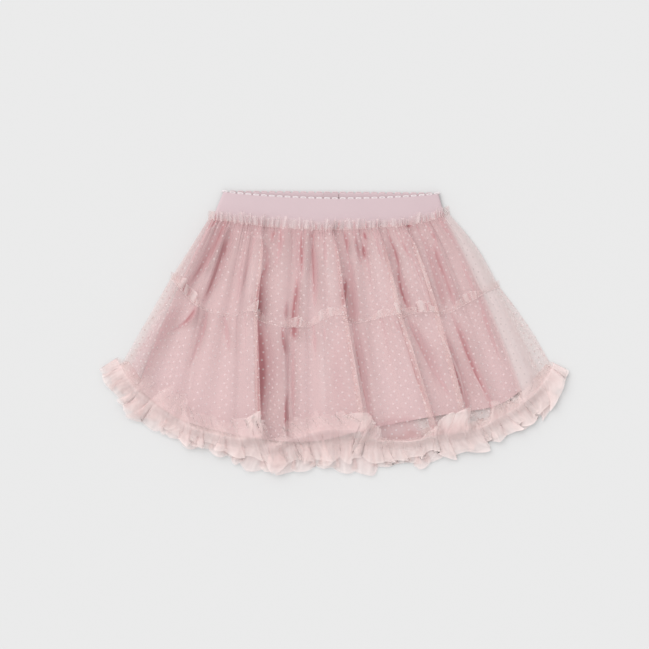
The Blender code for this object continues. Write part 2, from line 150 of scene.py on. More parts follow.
# ---- creases ----
# Smaller ridges and troughs of the front, each along a curve through three points from its top
# to its bottom. left and right are its widths on either side; a narrow one is a sharp edge.
# lift is how far it stands up, net how many more layers of net are bunched along it, whose darker, redder
# tone also paints the shade in its trough, glow how much painted highlight a folded edge of net gets, and
# full how far down it is at its strongest.
Crease = namedtuple("Crease", "x1 y1 x2 y2 x3 y3 left right lift net glow full")
UPPER_CREASES = rows_of(
    Crease,
    (-122, 106, -139, 77, -155, 47, 8, 8, 0.6, -0.4, 0.16, 0.6),
    (-117, 112, -121, 106, -127, 100, 1, 1, 0, 4, 0, 0.4),
    (-112, 110, -121, 103, -129, 98, 0.9, 0.9, 0.3, 0, 0.3, 0.6),
    (-123, 99, -131, 81, -139, 58, 5, 8, 0, 2.4, 0, 0.5),
    (-108.5, 109, -125, 75, -150, 41, 3, 3.2, -0.4, 9, 0, 0.4),
    (-110, 92, -121, 69, -133, 49, 2.4, 2.4, 0.6, -1.5, 0.2, 0.5),
    (-103, 102, -106, 88, -110, 74, 2, 2.5, 0, 3.5, 0, 0.6),
    (-109, 90, -116, 62, -129, 32, 2.4, 3.4, -0.4, 10, 0, 0.45),
    (-101, 92, -105, 65, -112, 24, 6, 7, 0.4, -0.4, 0.08, 0.6),
    (-78, 100, -86, 67, -96, 31, 5, 1.1, -0.3, 4.5, 0, 0.6),
    (-78, 95, -82, 66, -87, 20, 3.5, 4.5, 1.2, -1, 0.42, 0.6),
    (-76, 92, -71, 96, -66, 97, 1, 1, 0.2, 0, 0.3, 0.5),
    (-70, 89, -67, 74, -70, 55, 2.6, 1.6, 0, 3.6, 0, 0.5),
    (-60, 99, -61, 95, -62, 89, 1.1, 1.1, 0, 5, 0, 0.2),
    # the deep valley right of a fold's edge: its heavy net is mostly painted shade
    (-69, 64, -75, 42, -76, 4, 0.4, 5, -0.5, 25, 0, 0.65),
    (-79.5, 50, -79, 32, -78.5, 12, 1.3, 1, 0.5, 0, 0.35, 0.5),
    (-81, 42, -81, 30, -82, 20, 0.8, 0.8, 0, 3.5, 0, 0.5),
    (-53, 99, -54, 83, -59, 66, 1.5, 1.8, 0, 4, 0, 0.25),
    (-52, 88, -53, 60, -54, 20, 8, 7, 0.6, 0.5, 0.1, 0.6),
    (-36, 96, -36, 66, -38, 32, 4, 4, 0, 3, 0, 0.4),
    (-32.5, 97, -32.3, 76, -32, 56, 1, 1, -0.2, 7, 0, 0.55),
    (-36.5, 52, -38.5, 32, -41, 6, 1.6, 3, -0.4, 10, 0, 0.7),
    (-47, 30, -47.5, 22, -48, 13, 1.2, 1.2, 0, 5, 0, 0.7),
    (-27, 96, -28, 52, -28, 8, 4, 4, 1.0, -1, 0.26, 0.5),
    (-23, 99, -22, 94, -21, 90, 1, 1, 0, 4, 0, 0.4),
    (-22, 86, -20.5, 66, -20, 28, 1.2, 2.6, -0.2, 6.5, 0, 0.4),
    (-9, 90, -8.5, 78, -8, 66, 1, 1, 0, 3.2, 0, 0.6),
    (-5.5, 96, -4, 60, 1, 16, 4, 4.5, 1.0, -1, 0.5, 0.55),
    (4, 96, 6, 66, 10, 36, 3.5, 6, 0, 3, 0, 0.55),
    (11, 98, 13, 87, 13, 74, 1.2, 1.2, 0, 5, 0, 0.35),
    (11.5, 52, 10.8, 41, 9.3, 27, 1.6, 1.6, -0.2, 13, 0, 0.65),
    (13, 50, 13, 38, 11, 24, 0.8, 0.8, 0.2, 0, 0.35, 0.6),
    (16, 70, 17.5, 44, 18.5, 4, 4, 4.5, -0.4, 10, 0, 0.8),
    (18, 95, 21, 64, 28, 34, 3, 4, 0.8, -0.8, 0.16, 0.4),
    (20.5, 99, 23, 84, 26.5, 69, 1, 1, 0, 5.5, 0, 0.5),
    (30, 96, 31, 70, 34, 44, 4, 4, 0, 2.3, 0, 0.3),
    (30, 99, 30.8, 95, 32, 91, 0.9, 0.9, 0, 7, 0, 0.5),
    (29, 87, 29.5, 80, 30, 72, 1.3, 1.3, 0, 7, 0, 0.5),
    (37, 99, 43, 66, 50, 18, 4.5, 5.5, 1.0, -1, 0.34, 0.5),
    (40, 98, 44, 84, 49, 71, 0.8, 2.2, -0.2, 7, 0, 0.7),
    (49, 72, 54, 46, 58, 16, 1, 2.2, 0, 2.6, 0, 0.7),
    (46, 96, 53, 76, 61, 52, 5, 6, 0, 3.4, 0, 0.45),
    (54, 95, 61, 80, 64, 53, 1.2, 1.3, 0, 6, 0, 0.5),
    (52, 65, 61, 46, 70, 27, 0.9, 0.8, 0.3, 0, 0.34, 0.6),
    (64, 60, 68, 41, 74, 23, 1.5, 3.4, -0.3, 11, 0, 0.6),
    (56, 52, 62, 32, 68, 8, 3, 4, 0.5, -0.5, 0.28, 0.6),
    (60, 98, 71, 66, 83, 31, 5, 6, 0.9, -0.5, 0.24, 0.5),
    (61, 100, 70, 84, 79, 70, 0.8, 0.8, 0, 4.5, 0, 0.7),
    (79, 72, 87, 50, 97, 24, 1, 3.2, -0.3, 10, 0, 0.55),
    (77.5, 71, 85.5, 50, 95, 26, 0.9, 0.7, 0.4, 0, 0.42, 0.55),
    (73, 95, 83, 66, 95, 35, 3, 4, 0, 2.6, 0, 0.4),
    (72, 102, 74, 91, 79, 79, 1, 1, 0, 4.5, 0, 0.3),
    (73, 107, 73.8, 106, 75, 104, 1.6, 1.6, 0, 9, 0, 0.5),
    (79, 93, 87, 66, 97, 33, 1.1, 1.1, 0.5, -1.5, 0.45, 0.6),
    (86, 86, 95, 60, 105, 28, 1.1, 1.1, 0.5, -1.5, 0.42, 0.6),
    (90, 92, 100, 60, 109, 29, 2.5, 2.6, 0, 5, 0, 0.75),
    (98.5, 100, 100, 95, 103, 89, 0.8, 0.8, 0, 5, 0, 0.4),
    (99.5, 85, 104, 70, 109, 54, 1.3, 2.2, -0.2, 6, 0, 0.35),
    (107, 64, 114, 46, 120, 27, 1.6, 2.6, 0, 5.5, 0, 0.6),
    (114, 82, 124, 56, 133, 30, 8, 7, 0.4, -0.3, 0.08, 0.6),
    (105, 110, 113, 99, 123, 84, 0.8, 0.8, 0, 3, 0, 0.4),
    (126, 72, 134, 52, 141, 37, 0.8, 0.9, 0, 3, 0, 0.6),
    (134, 66, 142, 51, 149, 38, 0.9, 0.8, 0.2, 0, 0.22, 0.6),
)
LOWER_CREASES = rows_of(
    Crease,
    (-164, 22, -186, -12, -204, -48, 6, 13, 0, 4.0, 0, 0.75),
    (-169, 25, -179, 7, -188, -12, 1.2, 1.2, 0.5, 0, 0.32, 0.4),
    (-162, 22, -171, 9, -178, -6, 1, 1.1, 0.4, 0, 0.26, 0.4),
    (-152, 30, -165, 8, -178, -18, 6, 6, 0, 3.6, 0, 0.45),
    (-138, 24, -146, 12, -159, 2, 1, 2.6, -0.4, 8, 0, 0.4),
    (-141, 26, -148.5, 13, -160, 4, 0.9, 0.7, 0.4, 0, 0.18, 0.5),
    (-127, 19, -131, 0, -144, -34, 2.6, 1.1, -0.2, 4.6, 0, 0.35),
    (-128, 0, -139, -28, -143, -68, 1, 1.3, 0.5, 0, 0.34, 0.6),
    (-116, 5, -121, -30, -126, -80, 7, 7, 0.4, -0.2, 0.05, 0.5),
    (-109, 15, -107, -2, -104, -20, 1.2, 1.4, 0, 3.2, 0, 0.35),
    (-101, 8, -100, -35, -100, -80, 2.2, 2.2, 0.4, -0.3, 0.1, 0.5),
    (-83, 14, -80.5, -28, -83, -78, 3.4, 1.6, 0.6, -0.5, 0.42, 0.5),
    (-78, -32, -79, -58, -81.5, -86, 0.9, 0.9, 0, 4, 0, 0.6),
    # the same deep valley in the lower tier, mostly painted shade
    (-76, 18, -75.5, -28, -75, -98, 0.2, 6, -0.5, 29, 0, 0.45),
    (-59, 4, -58, -40, -61, -88, 7, 7, 0, 3.2, 0, 0.5),
    (-51, -10, -49, -33, -46.5, -62, 1.2, 1.2, 0.5, 0, 0.32, 0.5),
    (-57, -80, -53, -70, -50, -62, 1, 1, 0.2, 0, 0.2, 0.5),
    (-51.5, 6, -50.5, -10, -48.5, -22, 0.8, 2.2, -0.2, 7, 0, 0.6),
    (-46, 4, -44, -30, -43, -70, 5, 4, 0, 3.6, 0, 0.3),
    (-40, 6, -39.8, 0, -39.5, -8, 2.2, 2.2, 0, 10, 0, 0.25),
    (-46.5, -62, -48, -80, -46, -104, 1, 1.7, -0.2, 9, 0, 0.6),
    (-40, -18, -41, -55, -40, -92, 1, 1.2, 0, 2.6, 0, 0.5),
    (-23, 20, -22, 12, -21, 2, 1.2, 1.2, 0, 4, 0, 0.4),
    (-20, 2, -19.5, -8, -19, -20, 1, 1, 0, 3, 0, 0.5),
    (-12, 6, -11, -45, -10, -96, 4, 4.5, 0.8, -1, 0.48, 0.5),
    (-9.5, 3, -9.5, -3, -9.5, -10, 0.8, 0.8, 0, 3, 0, 0.5),
    (6, 3, 8, -38, 10, -84, 9.5, 11, 0, 3.3, 0, 0.6),
    (14, 8, 21.5, -34, 30, -80, 1.3, 0.7, 0.6, 0, 0.36, 0.5),
    (17.5, 10, 25.5, -36, 35, -86, 0.4, 3.2, -0.4, 7, 0, 0.45),
    (28, 6, 32, -18, 37, -50, 4, 5, 0, 2.6, 0, 0.3),
    (44, 4, 44, -20, 47, -52, 3, 3, 0.4, -0.4, 0.14, 0.5),
    (60, 13, 77, -32, 103, -98, 0.9, 2.6, -0.2, 6.5, 0, 0.3),
    (61.5, 12, 63.5, 5, 67, -4, 1.1, 2.2, 0, 7, 0, 0.4),
    (62, 2, 78, -42, 99, -88, 3, 0.7, 0.5, -0.4, 0.34, 0.5),
    (70, 10, 78, -14, 92, -50, 2.5, 3, 0.5, -0.4, 0.32, 0.4),
    (76, 8, 86, -14, 99, -40, 0.9, 4, -0.2, 6, 0, 0.35),
    (86, 6, 100, -29, 117, -72, 8, 9, 0, 3.4, 0, 0.55),
    (100, -40, 107, -51, 114, -63, 0.8, 1.2, 0, 2.4, 0, 0.5),
    (89, 18, 115, -20, 131, -80, 1.3, 0.7, 0.6, 0, 0.5, 0.5),
    (110, -4, 121, -37, 133, -78, 0.8, 3.4, -0.3, 11, 0, 0.6),
    (113, 6, 128, -30, 143, -72, 5, 5, 0, 3.6, 0, 0.6),
    (111, 15, 119, -12, 134, -62, 0.8, 0.8, 0.3, 0, 0.26, 0.5),
    (119, 12, 134, -25, 159, -80, 1, 2.6, -0.4, 9, 0, 0.6),
    (133, -32, 145.5, -54, 159, -78, 1.2, 0.7, 0.4, 0, 0.34, 0.5),
    (125, 8, 130, -5, 138, -22, 2, 4.5, 0, 2.6, 0, 0.3),
    (145, 30, 153, 5, 166, -30, 1.2, 1.4, 0, 4.4, 0, 0.3),
    # a painted shadow: dark net where the lining's hem shades what lies below it
    (74, -84, 76, -99, 78, -116, 32, 34, 0, 8.5, 0, 0.5),
)

# Gathers fade out at their own distances from the seam that draws them up. Their net is the layers
# bunched in their troughs, also darker there as painted shade.
Gathers = namedtuple("Gathers", "waves reach height net")
WAIST_GATHERS = rows_of(Gathers, (95, 5, 0.9, 6), (62, 12, 1.4, 8), (41, 26, 1.4, 10), (26, 70, 1.2, 6.5))
MIDDLE_GATHERS = rows_of(Gathers, (70, 6, 0.9, 4.0), (43, 20, 1.1, 3.5), (25, 80, 1.0, 2.4))
DENSE_AT_WAIST = (1.8, 9)  # more layers just below the waist seam, and how far they fade out
STREAKS = ((0.6, 26, 1.5), (0.4, 70, 2.5), (0.2, 170, 4))  # layers, how many across and down

# ---- grids, and how many folds each ruffle has ----
BAND_ROWS, BAND_COLUMNS = 13, 121
LINING_ROWS, LINING_COLUMNS = 37, 141
FRONT_COLUMNS = 700
BACK_COLUMNS = 240
UPPER_ROWS = 60
LOWER_ROWS = 66
HEADING_ROWS = 12
SIDE_COLUMNS = 3
FRONT_ACROSS = np.linspace(0, 1, FRONT_COLUMNS)[None, :]
BACK_ACROSS = np.linspace(1, 0, BACK_COLUMNS)[None, :]
HEADING_UP = np.linspace(1, 0, HEADING_ROWS, endpoint=False)[:, None]

HEADING_WAVES = 46
MIDDLE_HEADING_WAVES = 52
BACK_HEADING_WAVES = 40
BACK_WAVES = 26
FRONT_FRILL_WAVES = 48
BACK_FRILL_WAVES = 40
FRILL_ROWS = 25
STEPS_A_PETAL = 16

# How far the front frill reaches in over the tier and out past the hem, how far its petals lean to the
# right on each side for each millimetre that they reach, how clearly its inner edge shows, where 0 melts
# into the tier, and how much painted highlight its outer edge and petals get, more to the right, where
# the lamp leaves the frill darker.
Reach = namedtuple("Reach", "x inner outer inner_lean outer_lean crisp shine")
FRILL_REACH = rows_of(
    Reach,
    (-219, 3, 19, 0.2, -0.7, 0.1, 0.1),
    (-208, 11, 22, 0.2, -0.4, 0.05, 0.0),
    (-196, 18, 22, 0.2, -0.2, 0.1, 0.1),
    (-164, 19, 20, 0.1, 0.0, 0.15, 0.1),
    (-141, 19, 17, 0.0, 0.1, 0.2, 0.3),
    (-110, 19, 15, 0.1, 0.0, 0.25, 0.4),
    (-96, 20, 18, 0.3, 0.2, 0.4, 0.5),
    (-82, 23, 22, 0.5, 0.5, 1.0, 0.6),
    (-73, 22, 22, 0.2, 0.8, 1.0, 0.6),
    (-63, 10, 23, -0.2, -0.2, 0.1, 0.1),
    (-48, 13, 26, 0.0, -0.3, 0.3, 0.1),
    (-31, 16, 29, -0.2, 0.0, 0.15, 0.1),
    (-6, 17, 31, 0.0, 0.1, 0.2, 0.2),
    (8, 17, 28, 0.1, 0.2, 0.4, 0.2),
    (24, 19, 28, 0.5, 0.1, 1.0, 0.4),
    (38, 15, 25, 0.6, 0.0, 0.9, 0.4),
    (47, 3, 24, 0.3, 0.1, 0.2, 0.5),
    (92, 3, 22, 0.0, 0.2, 0.4, 0.9),
    (107, 12, 26, 0.0, 0.2, 0.8, 1.0),
    (118, 18, 27, 0.3, 0.4, 1.0, 1.0),
    (134, 17, 25, 0.6, 0.6, 0.9, 1.0),
    (150, 6, 22, 0.3, 0.5, 0.6, 1.0),
    (166, 13, 22, 0.0, 0.1, 0.5, 1.0),
    (188, 14, 24, 0.0, 0.2, 0.45, 1.0),
    (208, 12, 26, 0.0, -0.4, 0.2, 1.0),
    (220, 5, 15, -0.2, -0.3, 0.1, 1.0),
)

BACK_FRILL_REACH = rows_of(
    Reach,
    (-213, 10, 17, 0, -0.5, 1, 0.8),
    (-150, FRILL_INNER, 18, 0, 0, 1, 0.2),
    (-115, FRILL_INNER, 15, 0, 0, 1, 0.2),
    (-70, FRILL_INNER, 23, 0, 0, 1, 0.2),
    (0, FRILL_INNER, 21, 0, 0, 1, 0.2),
    (170, FRILL_INNER, 17, 0, 0, 1, 0.3),
    (205, FRILL_INNER, 24, 0, -0.3, 1, 0.6),
    (218, 10, 14, 0, -0.3, 1, 0.8),
)
FRILL_LEFT, FRILL_RIGHT = (-218, -27), (219, -31)  # where the front's frill starts and ends

# Where the ruffle above the middle seam is crumpled most.
Clump = namedtuple("Clump", "x width strength")
MIDDLE_CLUMPS = rows_of(Clump, (-146, 12, 1.0), (-77, 7, 1.0), (-37, 13, 0.8), (-7, 14, 0.8))
MIDDLE_CLUMPS += rows_of(Clump, (48, 8, 0.7), (66, 8, 0.9), (90, 15, 1.0), (134, 12, 0.7))

# ---- the flat cuts, all round and in metres ----
BAND_CUT = (0.44, 0.031)
UPPER_CUT = (0.78, 0.112)
LOWER_CUT = (1.06, 0.135)
FRILL_CUT = (1.60, 0.036)
LINING_CUT, LINING_AREA = (0.76, 0.20), 0.130  # an A-line tube, so smaller than its rectangle

# ---- what is sewn or printed on the cloth ----
PICOT_PITCH, PICOT_LENGTH, PICOT_HEIGHT, PICOT_THREAD = 7.7, 5.4, 1.2, 0.8
DOT_RADIUS, DOT_HEIGHT = 1.0, 0.1
DOT_SCATTER = 0.12  # as a share of the room between dots
LEVEL_ENOUGH = 0.75  # to show dots, where 1 lies flat and 0 stands on edge
Stitch = namedtuple("Stitch", "length pitch thread")
JOIN_STITCH = Stitch(1.6, 2.0, 0.5)
Tier = namedtuple("Tier", "name cut nodes dots_across dots_down seam stitch stitches_above")
UPPER_NODES = ("upper_tier_front", "upper_tier_back", "upper_heading")
LOWER_NODES = ("lower_tier_front", "lower_tier_back", "middle_heading")
TIERS = rows_of(
    Tier,
    ("upper", UPPER_CUT, UPPER_NODES, 62, 25, "waist", Stitch(2.4, 2.7, 0.4), 0.3),
    ("lower", LOWER_CUT, LOWER_NODES, 80, 30, "middle", Stitch(2.4, 2.7, 0.6), 0.6),
)

# ---- colours, as shares of the light that the cloth sends back ----
NET_COVER = 0.105  # the share of the light that one layer of net stops
GLOW_COVER = 0.4  # and that a painted highlight on a folded edge stops besides
EDGE_GLOW = 0.06  # how much painted highlight a tier's cloth gets where it stands on edge
NET_STEPS = (1.5, 5.0, 15.0)  # the layers at which net has its thin, middle and deep colour, the deeper ones partly painted shade
NET_PITCH = 1.2  # of its threads, and then the lawn's yarns and the elastic's ribs and picks
LAWN_PITCH, RIB_PITCH, PICK_PITCH = 0.45, 1.1, 0.7
UPPER_LAYERS = (2.4, 1.8)  # at the top and at the bottom of the tier
LOWER_LAYERS = (1.9, 1.5)
SIDE_LAYERS = ((2.0, 17), (4.2, 18))  # bunched outside the lining's left and right edges, fading out
SIDE_GLOW = ((0.0, 10), (1.1, 17))  # and how much painted highlight they get, on the right only, to lighten the shade beside the lining's edge
# tones of thin, middle and deep net and of glow, for the tiers and the frill: the darker tones are partly
# painted shade in folds and between petals, and the glow tone is a painted highlight
TULLE_TONES = ((0.765, 0.565, 0.54), (0.585, 0.36, 0.365), (0.36, 0.135, 0.145), (0.74, 0.635, 0.625))
FRILL_TONES = ((0.87, 0.70, 0.675), (0.81, 0.61, 0.595), (0.56, 0.33, 0.31), (0.84, 0.72, 0.70))
DOT_COLOUR = (0.725, 0.605, 0.6)
DOT_COVER = 0.5
LINING_COLOUR = (0.58, 0.423, 0.433)
BAND_COLOUR = (0.528, 0.408, 0.430)
# one picot thread: paler on the front, partly its own colour and partly a painted highlight; the back's
# is without the highlight
PICOT_HIGHLIT_COLOUR = (0.77, 0.71, 0.72)
PICOT_BACK_COLOUR = (0.66, 0.50, 0.52)
THREAD_COLOUR = (0.72, 0.57, 0.56)
FLOOR_COLOUR = (0.62, 0.62, 0.62)

# ---- the studio, in metres and degrees ----
SKY_STRENGTH = 0.885
LAMP_STRENGTH = 1.95
LAMP_SPREAD = 60
LAMP_HEIGHT = 47
LAMP_TURN = 225
CAMERA_HEIGHT = 2.4
VIEW_WIDTH = 0.649
VIEW_MIDDLE = (-0.0095, 0.007)
FLOOR_SIZE = 8.0
FLOOR_Z = -0.0002  # a little below the skirt's lowest cloth


# ==== numbers ====
def through(rows, at):
    """The smooth curve through the rows, read at fractional row numbers."""
    rows = np.asarray(rows, float)
    at = np.asarray(at, float)
    last = len(rows) - 1
    start = np.clip(np.floor(at), 0, last - 1).astype(int)
    t = at - start
    if rows.ndim > 1:
        t = t[..., None]
    p0, p1, p2, p3 = (rows[np.clip(start + step, 0, last)] for step in (-1, 0, 1, 2))
    rise = 3 * t**2 - 2 * t**3
    return p1 + rise * (p2 - p1) + t * (1 - t) ** 2 * (p2 - p0) / 2 - t**2 * (1 - t) * (p3 - p1) / 2


def along_x(line, x):
    """The height of a line of points at x, smooth between them."""
    xs, ys = zip(*line)
    return through(ys, np.interp(x, xs, range(len(xs))))


def arch(share, fullness=1.0):
    """0 at both sides and 1 in the middle."""
    return np.sin(np.pi * np.clip(share, 0.0, 1.0)) ** fullness


def between(value, low, high):
    """0 below low and 1 above high, smooth on the way."""
    t = np.clip((value - low) / (high - low), 0.0, 1.0)
    return t * t * (3 - 2 * t)


def chance(column, row, seed):
    """A steady value from -1 to 1 at each corner of a grid of whole numbers."""
    mixed = np.sin(column * 127.1 + row * 311.7 + seed * 74.7) * 43758.5453
    return 2 * (mixed - np.floor(mixed)) - 1


def blended(value_at, column, row, s, t):
    """The value s of the way across a square and t up it, from those at its four corners."""
    near = value_at(column, row) * (1 - s) + value_at(column + 1, row) * s
    far = value_at(column, row + 1) * (1 - s) + value_at(column + 1, row + 1) * s
    return near * (1 - t) + far * t


def drift(across, down, seed):
    """Unplanned variation from -1 to 1 whose features are about one unit wide."""
    across, down = np.broadcast_arrays(across, down)
    column, row = np.floor(across), np.floor(down)
    s, t = across - column, down - row
    s = s * s * (3 - 2 * s)
    t = t * t * (3 - 2 * t)
    return blended(lambda *corner: chance(*corner, seed), column, row, s, t)


def uneven_turns(share, count, seed, spread=0.5):
    """Which of count folds is at a share of the way, when the folds are unevenly wide."""
    widths = 1 + spread * chance(np.arange(count), 0.0, seed)
    edges = np.concatenate([[0], np.cumsum(widths)]) / widths.sum()
    return np.interp(share, edges, np.arange(count + 1))


def evenly(path, count=400):
    """The same path with its points an even distance apart."""
    fine = through(path, np.linspace(0, len(path) - 1, 6 * count))
    length = np.concatenate([[0], np.cumsum(np.linalg.norm(np.diff(fine, axis=0), axis=1))])
    stops = np.linspace(0, length[-1], count)
    return np.column_stack([np.interp(stops, length, fine[:, axis]) for axis in range(fine.shape[1])])


def close_at_ends(count, margin):
    """Even shares from 0 to 1 with one more close to each end, so that a thick edge is crisp."""
    return np.concatenate([[0, margin], np.linspace(0, 1, count)[1:-1], [1 - margin, 1]])


def outward(path, share, reach):
    """Points to the side of a path in plan, reach away from it at a share of its length."""
    at = np.asarray(share) * (len(path) - 1)
    span = 0.04 * len(path)
    here = through(path, at)
    run = through(path, np.minimum(at + span, len(path) - 1)) - through(path, np.maximum(at - span, 0))
    run = run / np.linalg.norm(run, axis=-1, keepdims=True)
    return here[..., 0] + run[..., 1] * reach, here[..., 1] - run[..., 0] * reach


# ==== laying cloth on cloth ====
class Ground:
    """The height of the topmost cloth laid so far, on a plan of one-millimetre squares."""

    LEFT, LOW, WIDE, DEEP = -250, -160, 500, 320

    def __init__(self, *layers):
        self.height = np.zeros((self.WIDE, self.DEEP))
        for points in layers:
            self.lay(points)

    def lay(self, points):
        x, y, z = (points[..., axis].ravel() for axis in range(3))
        column = np.clip(np.round(x - self.LEFT).astype(int), 0, self.WIDE - 1)
        row = np.clip(np.round(y - self.LOW).astype(int), 0, self.DEEP - 1)
        np.maximum.at(self.height, (column, row), z)

    def raised(self, reach, ease):
        """The highest ground within reach of each square, eased into its neighbours."""
        steps = range(-reach, reach + 1)
        high = self.height.copy()
        for across in steps:
            for up in steps:
                if across**2 + up**2 <= reach**2 + 1:
                    high = np.maximum(high, np.roll(self.height, (across, up), (0, 1)))
        for axis in (0, 1):
            high = sum(np.roll(high, step, axis) for step in range(-ease, ease + 1)) / (2 * ease + 1)
        return high

    def under(self, x, y, reach=2, ease=1):
        """The ground's height below points in plan."""
        high = self.raised(reach, ease)
        across = np.clip(x - self.LEFT, 0, self.WIDE - 1.001)
        up = np.clip(y - self.LOW, 0, self.DEEP - 1.001)
        column, row = across.astype(int), up.astype(int)
        return blended(lambda *corner: high[corner], column, row, across - column, up - row)


def tube(front, back, bulge=0.8):
    """One ring of columns from a front, left to right, and a back, right to left, joined by a
    soft fold at each side. Both are grids of rows, columns and numbers, of which the first
    three are a place."""

    def side(start, end, outward_x):
        turns = np.linspace(0, 1, SIDE_COLUMNS + 2)[1:-1][None, :, None]
        joined = start[:, None] * (1 - turns) + end[:, None] * turns
        joined[..., 0] += outward_x * bulge * np.sin(np.pi * turns[..., 0])
        joined[..., 3:] *= 0.4  # the fold is seen on edge, which adds net again
        return joined

    right = side(front[:, -1], back[:, 0], 1)
    left = side(back[:, -1], front[:, 0], -1)
    return np.concatenate([front, right, back, left], axis=1)


def steepness(points):
    """How many times more net shows where the cloth stands on edge than where it lies flat."""
    across = np.roll(points, -1, 1) - np.roll(points, 1, 1)
    normal = np.cross(np.gradient(points, axis=0), across)
    upright = np.abs(normal[..., 2]) / np.maximum(np.linalg.norm(normal, axis=-1), 1e-9)
    return 1 / np.maximum(upright, 0.35)


# ==== making meshes ====
def way_along(grid):
    """How far down the cloth each row of a grid lies, from 0 to 1."""
    steps = np.linalg.norm(np.diff(grid[..., :3], axis=0), axis=-1).mean(axis=1)
    way = np.concatenate([[0], np.cumsum(steps)])
    return way / way[-1]


def sheet_of_cloth(name, grid, finish):
    """A tube-shaped mesh from a grid of rows and columns, whose numbers are x, y and z and then, on net,
    the layers, whose darker tones are partly painted shade, and the glow, a painted highlight."""
    rows, columns = grid.shape[:2]
    row, column = np.meshgrid(np.arange(rows - 1), np.arange(columns), indexing="ij")
    after = (column + 1) % columns
    here, below = row * columns, (row + 1) * columns
    corners = np.stack([here + column, below + column, below + after, here + after], -1)
    mesh = bpy.data.meshes.new(name)
    mesh.vertices.add(rows * columns)
    mesh.vertices.foreach_set("co", (grid[..., :3] * MM).ravel())
    faces = (rows - 1) * columns
    mesh.loops.add(4 * faces)
    mesh.loops.foreach_set("vertex_index", corners.ravel())
    mesh.polygons.add(faces)
    mesh.polygons.foreach_set("loop_start", np.arange(0, 4 * faces, 4))
    mesh.update(calc_edges=True)
    around = way_along(np.concatenate([grid, grid[:, :1]], axis=1).swapaxes(0, 1))
    across = around[np.stack([column, column, column + 1, column + 1], -1)]
    drop = way_along(grid)[np.stack([row, row + 1, row + 1, row], -1)]
    cut = mesh.uv_layers.new(name="cut")
    cut.data.foreach_set("uv", np.stack([across, 1 - drop], -1).astype(np.float32).ravel())
    for field, numbers in zip(("net", "glow"), np.moveaxis(grid[..., 3:], -1, 0)):
        values = mesh.attributes.new(field, "FLOAT", "POINT")
        values.data.foreach_set("value", numbers.astype(np.float32).ravel())
    mesh.shade_smooth()
    mesh.materials.append(finish)
    return placed(name, mesh)


def placed(name, mesh):
    piece = bpy.data.objects.new(name, mesh)
    bpy.context.scene.collection.objects.link(piece)
    return piece


def thicken(piece, wall):
    """Gives a sheet its wall, half to each side."""
    solid = piece.modifiers.new("wall", "SOLIDIFY")
    solid.thickness = wall * MM
    solid.offset = 0
    return piece


# ==== nodes ====
def either_side(operation):
    """A sign's two methods, with the value on its left and on its right. Each adds a math node."""
    return (
        lambda value, other: value.nodes.math(operation, value, other),
        lambda value, other: value.nodes.math(operation, other, value),
    )


class Value:
    """A socket whose value can be used in a sum."""

    __add__, __radd__ = either_side("ADD")
    __sub__, __rsub__ = either_side("SUBTRACT")
    __mul__, __rmul__ = either_side("MULTIPLY")
    __truediv__, __rtruediv__ = either_side("DIVIDE")
    __mod__, __rmod__ = either_side("FLOORED_MODULO")
    __pow__, __rpow__ = either_side("POWER")

    def __init__(self, nodes, socket):
        self.nodes = nodes
        self.socket = socket

    def other(self, name):
        """Another output of the same node."""
        return Value(self.nodes, self.socket.node.outputs[name])


class Nodes:
    """A tree of nodes, for a material or for geometry."""

    def __init__(self, tree):
        self.tree = tree
        tree.nodes.clear()

    def node(self, kind, sockets=None, out=0, **settings):
        """Makes a node, gives it its settings and then what feeds its sockets."""
        made = self.tree.nodes.new(kind)
        for key, setting in settings.items():
            setattr(made, key, setting)
        for key, value in (sockets or {}).items():
            self.feed(made.inputs[key], value)
        return Value(self, made.outputs[out]) if made.outputs else made

    def feed(self, socket, value):
        if isinstance(value, Value):
            self.tree.links.new(value.socket, socket)
        elif socket.type == "RGBA":
            socket.default_value = (*value, 1.0)
        else:
            socket.default_value = value

    def math(self, operation, *values):
        return self.node("ShaderNodeMath", dict(enumerate(values)), operation=operation)

    def wave(self, value, pitch):
        return self.math("SINE", value * (2 * math.pi / pitch))

    def split(self, vector):
        return self.node("ShaderNodeSeparateXYZ", {0: vector})

    def between(self, value, low, high):
        """0 below low and 1 above high, smooth on the way."""
        sockets = {0: value, 1: low, 2: high}
        return self.node("ShaderNodeMapRange", sockets, interpolation_type="SMOOTHSTEP")

    def mix(self, share, first, second):
        """From the first colour to the second."""
        return self.node("ShaderNodeMix", {0: share, 6: first, 7: second}, 2, data_type="RGBA")

    def field(self, name):
        """A number that the mesh holds at each of its points."""
        return self.node("ShaderNodeAttribute", out="Fac", attribute_name=name)


class Finish(Nodes):
    """A material's nodes, with one Principled shader."""

    def __init__(self, name):
        self.material = bpy.data.materials.new(name)
        self.material.use_nodes = True
        super().__init__(self.material.node_tree)
        self.place = self.node("ShaderNodeTexCoord", out="Object")

    def cut(self, size):
        """How far across and up the flat cut a point lies, in millimetres."""
        flat = self.split(self.node("ShaderNodeUVMap", uv_map="cut"))
        return flat * (size[0] / MM), flat.other("Y") * (size[1] / MM)

    def noise(self, size, detail, rough=0.5):
        """Cloudy variation from 0 to 1, with features of a size in metres."""
        sockets = {"Vector": self.place, "Scale": 1 / size, "Detail": detail, "Roughness": rough}
        return self.node("ShaderNodeTexNoise", sockets)

    def toned(self, share, colour, dark, light):
        """A colour that varies between two shares of its brightness."""
        dark, light = (tuple(min(part * tone, 1.0) for part in colour) for tone in (dark, light))
        return self.mix(share, dark, light)

    def done(self, sockets, bumps=()):
        """Ends the material. bumps are pairs of a height and how deep it is, in metres."""
        normal = {}
        for height, depth in bumps:
            bump = {"Height": height, "Distance": depth, "Strength": 1.0, **normal}
            normal = {"Normal": self.node("ShaderNodeBump", bump)}
        shader = self.node("ShaderNodeBsdfPrincipled", {**sockets, **normal})
        self.node("ShaderNodeOutputMaterial", {"Surface": shader})
        return self.material


